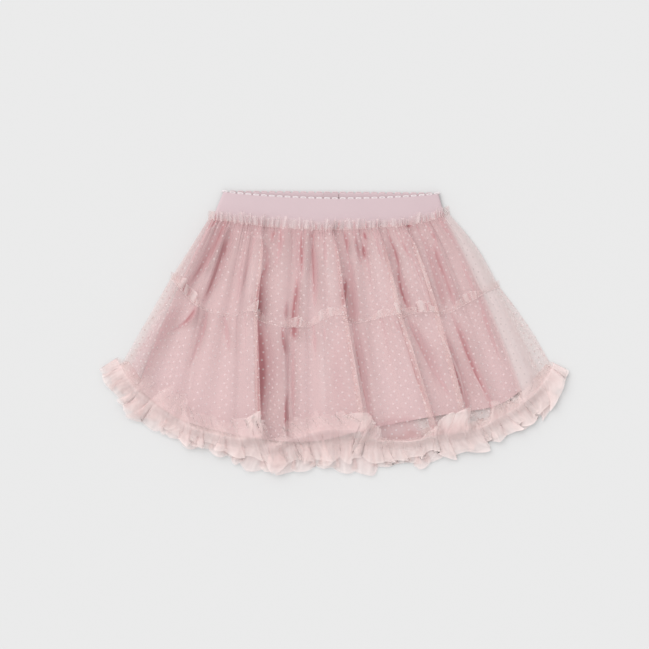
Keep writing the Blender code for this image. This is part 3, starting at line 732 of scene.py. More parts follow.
# ==== finishes ====
def net_finish(name, cut, thin, middle, deep_shade, glow_colour):
    """Soft net. Its "net" field says how many layers are bunched there, and its darker tones at many
    layers are also painted shade in folds; "glow" is a painted highlight where a folded edge catches the
    light."""
    finish = Finish(name)
    layers, glow = finish.field("net"), finish.field("glow")
    across, up = finish.cut(cut)
    opening = 1.0
    for slant in (1, -1):
        turn = (across + up * slant) / NET_PITCH % 1.0
        opening = opening * (1 - finish.between(finish.math("ABSOLUTE", turn - 0.5), 0.28, 0.46))
    cloud = finish.noise(0.012, 3.0, 0.6)
    density = layers * (0.85 + 0.3 * cloud) * (1.12 - 0.24 * opening)
    cover = 1 - (1 - NET_COVER) ** density
    alpha = cover + (1 - cover) * glow * GLOW_COVER
    colour = finish.mix(finish.between(layers, *NET_STEPS[:2]), thin, middle)
    colour = finish.mix(finish.between(layers, *NET_STEPS[1:]), colour, deep_shade)
    colour = finish.mix(finish.math("MINIMUM", glow, 0.85), colour, glow_colour)
    return finish.done({"Base Color": colour, "Alpha": alpha, "Roughness": 0.85, "Sheen Weight": 0.15})


def dot_finish():
    """Flock, a little lighter than the net."""
    finish = Finish("flocked dots")
    colour = finish.toned(finish.noise(0.004, 1.0), DOT_COLOUR, 0.93, 1.07)
    return finish.done({"Base Color": colour, "Alpha": DOT_COVER, "Roughness": 0.9})


def lining_finish():
    """Fine plain-woven lawn."""
    finish = Finish("lining lawn")
    across, up = finish.cut(LINING_CUT)
    weave = finish.wave(across, LAWN_PITCH) * finish.wave(up, LAWN_PITCH)
    cloud = finish.noise(0.03, 3.0)
    slub = finish.noise(0.0025, 2.0)
    colour = finish.toned(cloud * 0.7 + slub * 0.3, LINING_COLOUR, 0.94, 1.06)
    return finish.done({"Base Color": colour, "Roughness": 0.8}, [(weave, 0.00001), (slub, 0.00006)])


def elastic_finish():
    """Soft woven elastic with fine ribs that run from edge to edge."""
    finish = Finish("soft elastic")
    across, up = finish.cut(BAND_CUT)
    rib = finish.wave(across, RIB_PITCH)
    pick = finish.wave(up, PICK_PITCH)
    cloud = finish.noise(0.02, 3.0)
    colour = finish.toned(cloud * 0.7 + rib * 0.1 + 0.1, BAND_COLOUR, 0.96, 1.04)
    sockets = {"Base Color": colour, "Roughness": 0.75, "Sheen Weight": 0.1}
    return finish.done(sockets, [(rib * 0.7 + pick * 0.3, 0.00003)])


def join_finish():
    """The same elastic from its wrong side, with its ribs along the lapped ends."""
    finish = Finish("soft elastic, lapped")
    rib = finish.wave(finish.split(finish.place), RIB_PITCH * MM)
    cloud = finish.noise(0.006, 2.0)
    colour = finish.toned(cloud * 0.7 + rib * 0.15 + 0.1, BAND_COLOUR, 0.86, 0.98)
    return finish.done({"Base Color": colour, "Roughness": 0.8}, [(rib, 0.00003)])


def thread_finish(name, colour):
    """Twisted sewing thread."""
    finish = Finish(name)
    colour = finish.toned(finish.noise(0.0008, 1.0), colour, 0.9, 1.05)
    return finish.done({"Base Color": colour, "Roughness": 0.6})


def floor_finish():
    finish = Finish("studio floor")
    colour = finish.toned(finish.noise(0.4, 1.0), FLOOR_COLOUR, 0.997, 1.0)
    return finish.done({"Base Color": colour, "Roughness": 1.0, "Specular IOR Level": 0.0})


# ==== geometry nodes ====
class Recipe(Nodes):
    """A tree of geometry nodes with named inputs."""

    def __init__(self, name, sizes):
        super().__init__(bpy.data.node_groups.new(name, "GeometryNodeTree"))
        sockets = self.tree.interface
        sockets.new_socket("Geometry", in_out="INPUT", socket_type="NodeSocketGeometry")
        for size, kind in {**sizes, "Finish": "Material"}.items():
            sockets.new_socket(size, in_out="INPUT", socket_type="NodeSocket" + kind)
        sockets.new_socket("Geometry", in_out="OUTPUT", socket_type="NodeSocketGeometry")
        given = self.tree.nodes.new("NodeGroupInput")
        self.given = {socket.name: Value(self, socket) for socket in given.outputs if socket.name}

    def triple(self, x, y, z):
        return self.node("ShaderNodeCombineXYZ", {0: x, 1: y, 2: z})

    def moved(self, geometry, how):
        return self.node("GeometryNodeTransform", {0: geometry, **how})

    def serve(self, seats, shape, axis, along, shown=True):
        """Ends the tree with copies of a shape on points, as plain, finished geometry. An axis
        of each copy lies along a direction."""
        turn = self.node("FunctionNodeAlignRotationToVector", {"Vector": along}, axis=axis)
        copies = {0: seats, 1: shown, 2: shape, 5: turn}
        copies = self.node("GeometryNodeInstanceOnPoints", copies)
        real = self.node("GeometryNodeRealizeInstances", {0: copies})
        painted = self.node("GeometryNodeSetMaterial", {0: real, 2: self.given["Finish"]})
        smooth = self.node("GeometryNodeSetShadeSmooth", {0: painted})
        self.node("NodeGroupOutput", {0: smooth})
        return self


def grown(name, recipe, source, sizes):
    """The plain mesh that a recipe makes from a source object."""
    grower = source.modifiers.new(name, "NODES")
    grower.node_group = recipe.tree
    for socket in recipe.tree.interface.items_tree:
        if socket.in_out == "INPUT" and socket.name in sizes:
            grower[socket.identifier] = sizes[socket.name]
    graph = bpy.context.evaluated_depsgraph_get()
    graph.update()
    mesh = bpy.data.meshes.new_from_object(source.evaluated_get(graph))
    mesh.name = name
    source.modifiers.remove(grower)
    return placed(name, mesh)


def dots_recipe():
    """Small round dots in staggered rows, laid out on a sheet's flat cut."""
    sizes = {"Dots Across": "Int", "Dots Down": "Int", "Dot Radius": "Float", "Dot Height": "Float"}
    recipe = Recipe("dots on net", {**sizes, "Scatter": "Float"})
    given = recipe.given
    across, down, high = given["Dots Across"], given["Dots Down"], given["Dot Height"]
    lattice = recipe.node("GeometryNodeMeshGrid", {0: 1.0, 1: 1.0, 2: across, 3: down})
    index = recipe.node("GeometryNodeInputIndex")
    row = index % down
    column = recipe.math("FLOOR", index / down)
    vector = {"data_type": "FLOAT_VECTOR"}
    limits = {0: (-1, -1, -1), 1: (1, 1, 1), 8: 7}
    stray = recipe.split(recipe.node("FunctionNodeRandomValue", limits, **vector))
    scatter = given["Scatter"]
    u = (column + row % 2.0 * 0.5 + stray * scatter + 0.5) / across % 1.0
    v = (row + 0.5 + stray.other("Y") * scatter) / down
    spot = recipe.triple(u, v, 0.0)
    flat = recipe.node("GeometryNodeInputNamedAttribute", {0: "cut"}, **vector)

    def on_sheet(value):
        sockets = {0: given["Geometry"], 1: value, 2: flat, 3: spot}
        return recipe.node("GeometryNodeSampleUVSurface", sockets, **vector)

    where = on_sheet(recipe.node("GeometryNodeInputPosition"))
    facing = on_sheet(recipe.node("GeometryNodeInputNormal"))
    seats = recipe.node("GeometryNodeSetPosition", {0: lattice, 2: where})
    cone = {0: 8, 1: 1, 3: 0.0, 4: given["Dot Radius"], 5: high}
    dot = recipe.node("GeometryNodeMeshCone", cone, fill_type="NONE")
    dot = recipe.moved(dot, {"Translation": recipe.triple(0.0, 0.0, high * 0.5)})
    level = recipe.math("ABSOLUTE", recipe.split(facing).other("Z"))
    shown = where.other("Is Valid") * recipe.math("GREATER_THAN", level, LEVEL_ENOUGH)
    return recipe.serve(seats, dot, "Z", facing, shown)


def along_recipe(name, sizes, shape):
    """Copies of a small shape at even steps along a line. shape makes one that lies along X."""
    recipe = Recipe(name, {"Pitch": "Float", **sizes})
    line = recipe.node("GeometryNodeMeshToCurve", {0: recipe.given["Geometry"]})
    stops = {0: line, 2: recipe.given["Pitch"]}
    stops = recipe.node("GeometryNodeCurveToPoints", stops, mode="LENGTH")
    return recipe.serve(stops, shape(recipe), "X", stops.other("Tangent"))


def stitches_recipe():
    """Plump stitches, one after another."""

    def stitch(recipe):
        half = recipe.given["Thread"] * 0.5
        size = recipe.triple(recipe.given["Stitch Length"] * 0.5, half, half)
        bead = recipe.node("GeometryNodeMeshUVSphere", {0: 6, 1: 5, 2: 1.0})
        return recipe.moved(bead, {"Scale": size})

    return along_recipe("stitches", {"Stitch Length": "Float", "Thread": "Float"}, stitch)


def picots_recipe():
    """Small loops of thread that stand out from an edge."""

    def picot(recipe):
        given = recipe.given
        half = given["Loop Height"] * 0.5
        ring = recipe.node("GeometryNodeCurvePrimitiveCircle", {0: 18, 4: 1.0})
        size = recipe.triple(given["Loop Length"] * 0.5, half, 1.0)
        oval = recipe.moved(ring, {"Translation": recipe.triple(0.0, half, 0.0), "Scale": size})
        yarn = recipe.node("GeometryNodeCurvePrimitiveCircle", {0: 6, 4: given["Thread"] * 0.5})
        return recipe.node("GeometryNodeCurveToMesh", {0: oval, 1: yarn})

    sizes = {"Loop Length": "Float", "Loop Height": "Float", "Thread": "Float"}
    return along_recipe("picots", sizes, picot)


def sewn_along(name, recipe, points, sizes):
    """What a recipe makes along a line of points."""
    line = bpy.data.meshes.new(name)
    places = (np.asarray(points)[:, :3] * MM).tolist()
    line.from_pydata(places, [(number - 1, number) for number in range(1, len(places))], [])
    source = placed(name + "_line", line)
    piece = grown(name, recipe, source, sizes)
    bpy.data.objects.remove(source)
    return piece


# ==== the band and the lining ====
def laid_out(*numbers):
    """One grid from numbers that may each vary only across or only down."""
    return np.stack(np.broadcast_arrays(*numbers), -1).astype(float)


def band_place(share, drop, dip):
    """Where the band lies in plan, at a share of its width and a drop of its height."""
    top = through(BAND_TOP, 2 * share) - (0, PICOT_HEIGHT)
    low_x = BAND_LOW_LEFT + share * (BAND_LOW_RIGHT - BAND_LOW_LEFT)
    low_y = along_x(WAIST_SEAM, low_x) - BAND_BELOW_SEAM
    top_y = top[..., 1] - dip * arch(share)
    return top[..., 0] + drop * (low_x - top[..., 0]), top_y + drop * (low_y - top_y)


def band_grid():
    """The band's front, left to right, and its back, right to left, each from its picots down."""
    share = np.linspace(0, 1, BAND_COLUMNS)[None, :]
    drop = close_at_ends(BAND_ROWS, 0.008)[:, None]
    swell = 0.25 * drift(9 * share, 2 * drop, 31)
    front_z = FRONT_BAND_EDGE_Z + BAND_RISE * arch(share, 0.6) + swell * arch(share)
    front_z = front_z - 0.8 * between(drop, 0.7, 1.0)  # it meets the lining
    front = laid_out(*band_place(share, drop, BAND_DIP), front_z)
    back = laid_out(*band_place(1 - share, drop, 0), BACK_BAND_Z)
    return front, back


def lining_place(share, drop):
    """Where the lining's panel lies in plan, from the band's lower edge to its straight hem."""
    top_x = BAND_LOW_LEFT + 1 + share * (BAND_LOW_RIGHT - BAND_LOW_LEFT - 1)
    top_y = along_x(WAIST_SEAM, top_x) - BAND_BELOW_SEAM + LAPPED
    hem = through(LINING_HEM, share * (len(LINING_HEM) - 1))
    bow = 4.0 * arch(drop) * (2 * share - 1)
    return top_x + drop * (hem[..., 0] - top_x) + bow, top_y + drop * (hem[..., 1] - top_y)


def lining_grid():
    """The lining's front, left to right, and its back, right to left, each down to its hem."""
    share = np.linspace(0, 1, LINING_COLUMNS)[None, :]
    at_band = [0.009, 0.018, 0.036, 0.045]  # more rows where it bends over the band's edge
    drop = np.sort(np.concatenate([close_at_ends(LINING_ROWS, 0.001), at_band]))[:, None]
    wave = 0.7 * drop * arch(share) * np.sin(9 * np.pi * share)
    soft = 0.35 * arch(share) * drift(14 * share, 2.2 * drop, 17)
    lift = (FRONT_LINING_RISE - 0.5 * drop) * arch(share, 0.6)
    # its hem lies low, and its top laps over the band
    settled = 1.3 * between(drop, 0.85, 1.0) * (1 - 0.15 * between(share, 0.5, 0.65))
    settled = settled - 1.15 * (1 - between(drop, 0.016, 0.045))
    front = laid_out(*lining_place(share, drop), FRONT_LINING_EDGE_Z + lift + wave + soft - settled)
    back = laid_out(*lining_place(1 - share, drop), BACK_LINING_Z)
    return front, back


def beside_lining(x, y, amounts):
    """What is given for just outside the lining's left and right edges, fading out from them."""
    drop = np.linspace(0, 1, 60)
    total = 0 * x
    for share, outward_x, (amount, reach) in ((0.0, -1, amounts[0]), (1.0, 1, amounts[1])):
        edge_x, edge_y = lining_place(np.full_like(drop, share), drop)
        beyond = outward_x * (x - np.interp(-y, -edge_y, edge_x))
        fading = np.exp(-((np.maximum(beyond - 2, 0) / reach) ** 2))
        total = total + amount * fading * between(beyond, -6, 3)
    return total


# ==== the tiers ====
def fold_line(level):
    """x, y, resting height and lift at each row of FOLDS along a seam or the hem."""
    number = np.arange(len(FOLDS))
    x = np.array([getattr(fold, level + "_x") for fold in FOLDS], float)
    if level == "waist":
        y = along_x(WAIST_SEAM, x)
    else:
        y = np.array([getattr(fold, level + "_y") for fold in FOLDS], float)
    risen = arch(number / (len(FOLDS) - 1), REST_FULLNESS[level])
    rest = TULLE_SIDE_Z + (REST_Z[level] - TULLE_SIDE_Z) * risen
    return np.column_stack([x, y, rest, [getattr(fold, level + "_lift") for fold in FOLDS]])


def front_columns():
    """Row numbers along FOLDS, an even distance apart on the cloth at the middle seam."""
    fine = np.linspace(0, len(FOLDS) - 1, 4000)
    x, y, rest, lift = through(fold_line("mid"), fine).T
    steps = np.hypot(np.hypot(np.diff(x), np.diff(y)), np.diff(rest + lift))
    length = np.concatenate([[0], np.cumsum(steps)])
    return np.interp(np.linspace(0, length[-1], FRONT_COLUMNS), length, fine)


def tier_place(upper, lower, columns, drop, bow, pinch=0.0):
    """A tier's front between its two seams, as the solids have it: x, y, z."""
    start, end = through(upper, columns), through(lower, columns)
    x, y, rest, lift = np.moveaxis(start + drop[..., None] * (end - start), -1, 0)
    share = columns / (len(FOLDS) - 1)
    held = 1 - pinch * np.maximum(0, 1 - drop / PINCH_REACH)
    bow = bow * arch(drop) * share**4
    return x + bow, y + bow, rest + np.maximum(lift, 0) * held


def crease_fields(x, y, creases):
    """How far creases lift the cloth at points in plan, the layers of net that they bunch there, which
    also paint the shade in their troughs, and their glow, a painted highlight."""
    fields = np.zeros((3, *x.shape))
    for crease in creases:
        tall = crease.y1 - crease.y3
        drop = np.clip((crease.y1 - y) / tall, -0.2, 1.2)
        middle = (crease.y1 - crease.y2) / tall
        # the curve through the three points
        line = (
            crease.x1 * (drop - middle) * (drop - 1) / middle
            - crease.x2 * drop * (drop - 1) / (middle * (1 - middle))
            + crease.x3 * drop * (drop - middle) / (1 - middle)
        )
        slant = (crease.x3 - crease.x1) / tall
        side = (x - line) / math.hypot(1, slant)
        strong = between(drop, -0.1, crease.full) * (1 - between(drop, crease.full, 1.1))
        width = np.where(side < 0, crease.left, crease.right) * (0.55 + 0.45 * strong)
        sharp = 2 + 2 * between(width, 6.0, 8.5)  # a broad one is a panel with clear sides
        near = np.exp(-((side / width) ** 2)) * strong**0.7
        wide = np.exp(-(np.abs(side / (width * 1.4 + 0.35)) ** sharp)) * strong**0.5
        bunched_and_shaded = crease.net * (0.6 + 1.0 * (1 - between(width, 1.4, 3.5)))
        fields += np.stack([crease.lift * near, bunched_and_shaded * wide, crease.glow * near])
    return fields


def gather_fields(share, down, gathers, seed):
    """The height of gathers that fade out below a seam, and the layers bunched in them, which also paint
    the shade in their troughs.
    """
    height = np.zeros(np.broadcast_shapes(share.shape, down.shape))
    net = height.copy()
    for number, gather in enumerate(gathers):
        sway = drift(share * gather.waves / 3, down / gather.reach / 2, seed)
        turn = uneven_turns(share + 0.35 / gather.waves * sway, gather.waves, seed + number, 0.6)
        fold = np.sin(np.pi * (turn % 1.0))
        strength = 0.5 + 0.5 * chance(np.round(turn), 1.0, seed + number)
        reach = gather.reach * (0.5 + strength)
        fading = np.exp(-down / reach)
        height += gather.height * fading * (fold - 0.5)
        start = between(down, 0.0, 3.0 + 3.0 * chance(np.round(turn), 2.0, seed))
        # more net, darker, in each trough: bunched layers and painted shade
        net += gather.net * fading * start * strength * (1 - fold) ** 8
    return height, net


def on_edges(columns):
    """How much each column lies on the upper side of a fold's edge, and how near it is to the
    edge itself."""
    over, near = 0 * columns, 0 * columns
    for number, fold in enumerate(FOLDS):
        if fold.kind == "edge":
            beyond = columns - number
            over = over + between(beyond, -1.0, -0.5) * (1 - between(beyond, 0.3, 0.6))
            near = near + np.exp(-((beyond / 0.14) ** 2))
    return over, near


def front_tier(place, drop, length, creases, gathers, layers, seed):
    """A tier's front with its gathers and creases: x, y, z, the layers of net, which also paint shade,
    and the glow, a painted highlight.
    """
    x, y, z = place
    share = FRONT_ACROSS
    ruck, bunched_and_shaded = gather_fields(share, drop * length, gathers, seed)
    lift, crease_net_and_shade, glow = crease_fields(x, y, creases)
    over, near = on_edges(front_columns())
    # less of the creases' dark net, so less painted shade, on the upper side of a fold's edge
    crease_net_and_shade = np.where(crease_net_and_shade > 1.5, crease_net_and_shade * (1 - 0.85 * over), crease_net_and_shade)
    # a painted highlight along each fold's edge
    glow = glow + 0.18 * near * between(drop, 0.1, 0.5)
    net = layers[0] + drop * (layers[1] - layers[0]) + bunched_and_shaded + crease_net_and_shade
    for number, (amount, across, down) in enumerate(STREAKS):
        net = net + amount * drift(across * share, down * drop, seed + 39 + number)
    net = net + beside_lining(x, y, SIDE_LAYERS)
    # painted light beside the lining's right edge, over its shade
    glow = glow + beside_lining(x, y, SIDE_GLOW)
    calm = between(share, 0.0, 0.03) * (1 - between(share, 0.96, 1.0))
    net = 0.8 + (net - 0.8) * (0.2 + 0.8 * calm)
    return laid_out(x, y, z + calm * (ruck + lift), net, glow)


def back_panel(top, low, drop, bow, layers, seed):
    """A tier's back, right to left, which the skirt rests on."""
    share = BACK_ACROSS
    start = through(top, share * (len(top) - 1))
    end = through(low, share * (len(low) - 1))
    x, y = np.moveaxis(start + drop[..., None] * (end - start), -1, 0)
    bow = bow * arch(drop) * share**4
    fold = np.abs(np.sin(np.pi * (BACK_WAVES * share + 1.2 * drift(9 * share, drop, seed))))
    raised = 0.5 + 0.35 * fold * arch(share, 0.3) + 0.3 * drop * arch(share, 0.3)
    # more net, darker, in the troughs of its folds: bunched layers and painted shade
    net = layers + 1.5 * (1 - fold) ** 3 + 0.4 * drift(60 * share, 2.5 * drop, seed + 1)
    return laid_out(x + bow, y + bow, raised, net, 0)


def down_the_cloth(grid, drop):
    """Points of a grid at other shares of the way down it, its rows being even."""
    at = np.clip(drop, 0, 1) * (len(grid) - 1)
    row = np.minimum(at.astype(int), len(grid) - 2)
    t = (at - row)[..., None]
    column = np.arange(grid.shape[1])
    return grid[row, column] * (1 - t) + grid[row + 1, column] * t


def net_of(grid, edge_glow=0.0):
    """The grid with more net where the cloth stands on edge, and paler there by a painted highlight."""
    steep = steepness(grid[..., :3])
    grid[..., 3] = np.maximum(grid[..., 3] * steep**0.3, 0.12)
    grid[..., 4] += edge_glow * (steep - 1)
    return grid


def ruffle_folds(share, waves, seed):
    """Uneven folds of a ruffle from 0 to 1, each one's own number, and the painted shade in the slits
    between them from 0 to 1."""
    turn = uneven_turns(share, waves, seed, 0.6)
    fold = np.sin(np.pi * (turn % 1.0))
    slit_shade = np.maximum(0, chance(np.round(turn), 5.0, seed)) ** 0.5 * (1 - fold) ** 5
    return fold, np.floor(turn), slit_shade


def waist_heading(seam, ground):
    """The upper tier's gathered edge, which stands up over the band."""
    up, share = HEADING_UP, FRONT_ACROSS
    sway = 0.004 * drift(30 * share, 0.0, 8) * up
    fold, number, slit_shade = ruffle_folds(share + sway, HEADING_WAVES, seed=3)
    ends = between(share, 0.0, 0.025) * (1 - between(share, 0.975, 1.0))
    depth = 1.1 + 0.26 * chance(number, 0.0, 4) * fold + 0.22 * drift(22 * share, 0.0, 5)
    depth = HEADING_DEPTH * (depth - 0.15 * between(share, 0.5, 0.8)) * (0.5 + 0.5 * ends)
    lean = 2.0 * chance(number, 1.0, 6) * fold
    x = seam[0] + up * lean
    y = seam[1] + up * depth
    z = np.maximum(ground.under(x, y) + 0.85, seam[2] + 0.1)
    z = z + (0.2 + 1.1 * up) * fold**0.7
    tall = 1 - between(up, 0.35 + 0.25 * chance(number, 2.0, 7), 1.0)
    # painted shade in the slits and troughs between the folds, and a painted highlight on their crests
    net = 1.9 * (1 - between(up, 0.2, 1.0)) + 0.2 + 10.0 * slit_shade * tall + 1.6 * (1 - fold) ** 2 * tall
    glow = (0.7 + 0.35 * (1 - up)) * fold**2 + 0.15 * between(up, 0.8, 1.0) * fold
    return laid_out(x, y, z, net, glow)


def middle_heading(upper, lengths):
    """The lower tier's gathered edge, which lies over the foot of the upper tier."""
    up, share = HEADING_UP, FRONT_ACROSS
    fold, number, slit_shade = ruffle_folds(share, MIDDLE_HEADING_WAVES, seed=13)
    x = upper[-1, :, 0][None, :]
    crumple = 0 * x
    for clump in MIDDLE_CLUMPS:
        crumple = np.maximum(crumple, clump.strength * np.exp(-(((x - clump.x) / clump.width) ** 2)))
    depth = MIDDLE_HEADING_DEPTH * (0.5 + 0.8 * crumple + 0.15 * drift(25 * share, 0.0, 14))
    depth = depth + (0.6 + 2.2 * crumple) * chance(number, 0.0, 15) * fold
    base = down_the_cloth(upper, 1 - up * depth / lengths)
    lean = (0.5 + 3.0 * crumple) * chance(number, 1.0, 16) * fold
    high = (0.4 + 4.2 * crumple * up) * fold
    # painted shade in the slits between folds, and a painted highlight on the crumpled crests
    net = 0.25 + 2.0 * crumple + (2.0 + 14.0 * crumple) * slit_shade
    glow = 1.1 * crumple * fold**2 + 0.6 * crumple * between(up, 0.85, 1.0)
    return laid_out(base[..., 0] + up * lean, base[..., 1], base[..., 2] + 0.5 + high, net, glow)


def back_heading(top, depth, layers):
    """The back's gathered edge, pressed flat beneath the band or the upper tier."""
    x, y = np.moveaxis(through(top, BACK_ACROSS * (len(top) - 1)), -1, 0)
    fold, _, slit_shade = ruffle_folds(BACK_ACROSS, BACK_HEADING_WAVES, seed=23)
    # painted shade in the slits between its folds
    return laid_out(x, y + HEADING_UP * depth, 0.36 + 0.1 * fold, layers + 1.5 * slit_shade, 0)


def drops(rows, columns):
    """How far down a panel each point of its grid lies, from 0 to 1."""
    return np.repeat(np.linspace(0, 1, rows)[:, None], columns, 1)


def upper_front(ground):
    """The upper tier's front, and the length of each of its columns."""
    drop = drops(UPPER_ROWS, FRONT_COLUMNS)
    seams = fold_line("waist"), fold_line("mid")
    x, y, z = tier_place(*seams, front_columns(), drop, UPPER_BOW, WAIST_PINCH)
    x = x + (np.sort(x[0]) - x[0]) * (1 - between(drop, 0.02, 0.3))  # no fold turns back at the seam
    lengths = np.hypot(x[-1] - x[0], y[-1] - y[0])
    upper = front_tier((x, y, z), drop, lengths, UPPER_CREASES, WAIST_GATHERS, UPPER_LAYERS, seed=50)
    upper[..., 2] = np.maximum(upper[..., 2], ground.under(x, y) + TULLE_GAP)
    dense = DENSE_AT_WAIST[0] * (1 - 0.6 * between(FRONT_ACROSS, 0.55, 0.8))
    upper[..., 3] += dense * np.exp(-drop * lengths / DENSE_AT_WAIST[1])
    return upper, lengths


def lower_front(ground):
    """The lower tier's front, whose top lies on the upper tier's foot."""
    drop = drops(LOWER_ROWS, FRONT_COLUMNS)
    seams = fold_line("mid"), fold_line("hem")
    x, y, z = tier_place(*seams, front_columns(), drop, LOWER_BOW)
    lengths = np.hypot(x[-1] - x[0], y[-1] - y[0])
    lower = front_tier((x, y, z), drop, lengths, LOWER_CREASES, MIDDLE_GATHERS, LOWER_LAYERS, seed=60)
    lower[..., 2] = np.maximum(lower[..., 2] + 0.3, ground.under(x, y) + TULLE_GAP)
    return lower


def tier_grids(ground):
    """The two tiers as tubes, each with its heading above its panel."""
    upper, lengths = upper_front(ground)
    front = np.concatenate([waist_heading(np.moveaxis(upper[0], -1, 0)[:, None, :], ground), upper])
    seam_xs = np.linspace(WAIST_SEAM[0][0], WAIST_SEAM[-1][0], 9)
    seam_back = [(x, along_x(WAIST_SEAM, x)) for x in seam_xs]
    drop = drops(UPPER_ROWS, BACK_COLUMNS)
    panel = back_panel(seam_back, MIDDLE_SEAM_BACK, drop, bow=0, layers=1.3, seed=70)
    heading = back_heading(seam_back, HEADING_DEPTH, layers=2.2)
    upper_tube = tube(front, np.concatenate([heading, panel]))

    front = np.concatenate([middle_heading(upper, lengths), lower_front(ground)])
    drop = drops(LOWER_ROWS, BACK_COLUMNS)
    panel = back_panel(MIDDLE_SEAM_BACK, HEM_BACK, drop, LOWER_BOW, layers=1.1, seed=80)
    heading = back_heading(MIDDLE_SEAM_BACK, MIDDLE_HEADING_DEPTH, layers=2.0)
    lower_tube = tube(front, np.concatenate([heading, panel]))
    return net_of(upper_tube, EDGE_GLOW), net_of(lower_tube, EDGE_GLOW)


# ==== the frill ====
def over_folds():
    """The frill's way along the front hem, over the folds and not under their edges."""
    kept = [row[:2] for row, fold in zip(fold_line("hem"), FOLDS) if fold.kind != "under"]
    path = evenly([FRILL_LEFT, *kept, FRILL_RIGHT])
    eased = path.copy()
    reach = 8
    for number in range(reach, len(path) - reach):
        eased[number] = path[number - reach : number + reach + 1].mean(axis=0)
    return eased


def frill_side(path, waves, reaches, high, base, seed):
    """One side's frill, left to right, sewn along its middle with both edges free. base gives
    the height of what lies below points in plan."""
    share = np.linspace(0, 1, waves * STEPS_A_PETAL + 1)[None, :]
    across = np.linspace(-1, 1, FRILL_ROWS)[:, None]
    free = np.abs(across)
    length = np.linalg.norm(np.diff(path, axis=0), axis=1).sum()
    # the petals of the two edges start together at the gathers and part on the way out
    turn = uneven_turns(share, waves, seed, 0.75)
    apart = uneven_turns(share, waves, seed + 1, 0.75)
    turn = np.where(across < 0, turn + (apart - turn) * free, turn)
    number = np.floor(turn)
    middle = turn - number - 0.5
    petal = np.sin(np.pi * (turn - number)) ** 0.8
    own = chance(number, np.sign(across), seed + 2)

    # what the table says at each place, and how far out and to the side each petal goes
    xs = outward(path, share, 0 * share)[0]
    place = np.interp(xs, [reach.x for reach in reaches], range(len(reaches)))
    fields = through([reach[1:] for reach in reaches], place)
    inner, outer, inner_lean, outer_lean, crisp, painted_shine = np.moveaxis(fields, -1, 0)
    inward = across < 0
    swing = 0.1 * drift(0.7 * turn, 0 * across, seed + 5) + 0.05 * drift(3 * turn, 0 * across, seed + 6)
    ragged = np.where(inward, 0.4, 0.3) * own * petal
    reach = np.where(inward, inner, outer) * (0.9 + 0.13 * (petal - 0.5) + ragged + swing)
    lean = np.where(inward, inner_lean, outer_lean) + 0.4 * chance(number, 3 + np.sign(across), seed)
    fan = 0.7 * middle * free**1.3 * length / waves
    shown = np.where(inward, np.clip(crisp, 0, 1), 1.0)
    crumple = 0.9 * free * drift(4 * turn, 4 * across, seed + 7)
    moved = fan + lean * free * reach * petal
    along = np.clip(share + (moved + crumple) * (0.3 + 0.7 * shown) / length, 0, 1)
    x, y = outward(path, along, across * reach)

    # each petal stands up and curls, and fine pleats cross it
    tall = high * (0.8 + 0.5 * own * free) * np.minimum(1, reach / 12) * (0.25 + 0.75 * shown)
    pleat = np.abs(np.sin(np.pi * (2.6 * turn + 0.8 * drift(2 * turn, 2 * across, seed + 3))))
    curl = 0.6 * chance(number, 7 + np.sign(across), seed)
    wave = (0.7 + 0.3 * free**0.8) * (1 + curl * free**2) * tall * petal + 0.6 * pleat * free**0.5
    wave = wave + 0.4 * free * drift(5 * turn, 5 * across, seed + 8)
    z = base(x, y, across) + wave

    # net is dense at the gathers, darker between petals and pleats as painted shade, and thinner and pale
    # at the free edges, where the glow paints highlights on petals, rims and fine wisps
    slit_shade = np.maximum(0, chance(np.round(turn), 5 + np.sign(across), seed))
    slit_shade = slit_shade * (1 - petal) ** 4 * free * (1.3 - free)
    net = 4.4 + 0.8 * own + 1.0 * (1 - petal) ** 2 + 0.8 * (1 - pleat) ** 3 - 2.6 * free**2 + 4 * slit_shade
    net = (net + 0.5 * drift(3 * turn, 2 * across, 9)) * (shown + (1 - shown) * (1 - free) ** 1.5)
    rim = between(free, 0.9, 1.0) * np.where(inward, 0.25, 0.15 + 0.3 * painted_shine)
    body = np.where(inward, 0.3, 0.7) * painted_shine * (0.3 + 0.7 * free)
    wisp_highlights = 0.4 * pleat**6 * free + 0.3 * np.maximum(0, drift(9 * turn, 0.8 * across, seed + 9))
    glow = (0.1 + 0.25 * petal**4 * free + body + rim) * shown + wisp_highlights * (0.35 + 0.65 * shown)
    return laid_out(x, y, z, net, glow)


def frill_grid(ground):
    """The whole frill as a tube. The back's is made first, because the front's lies on it."""

    def under_back(x, y, across):
        return FRILL_FLOOR_Z + 0.5 * np.maximum(across, 0)

    path = evenly(HEM_BACK)
    back = frill_side(path, BACK_FRILL_WAVES, BACK_FRILL_REACH, BACK_FRILL_HEIGHT, under_back, seed=90)
    # its inner half is pressed flat beneath the tier
    pressed = back[: FRILL_ROWS // 2, :, 2]
    pressed[:] = FRILL_FLOOR_Z + 0.03 * (pressed - FRILL_FLOOR_Z)
    ground.lay(back)

    def over_front(x, y, across):
        return ground.under(x, y, reach=4, ease=3) + 1.0

    path = over_folds()
    front = frill_side(path, FRONT_FRILL_WAVES, FRILL_REACH, FRONT_FRILL_HEIGHT, over_front, seed=100)
    return net_of(tube(front, back[:, ::-1]))


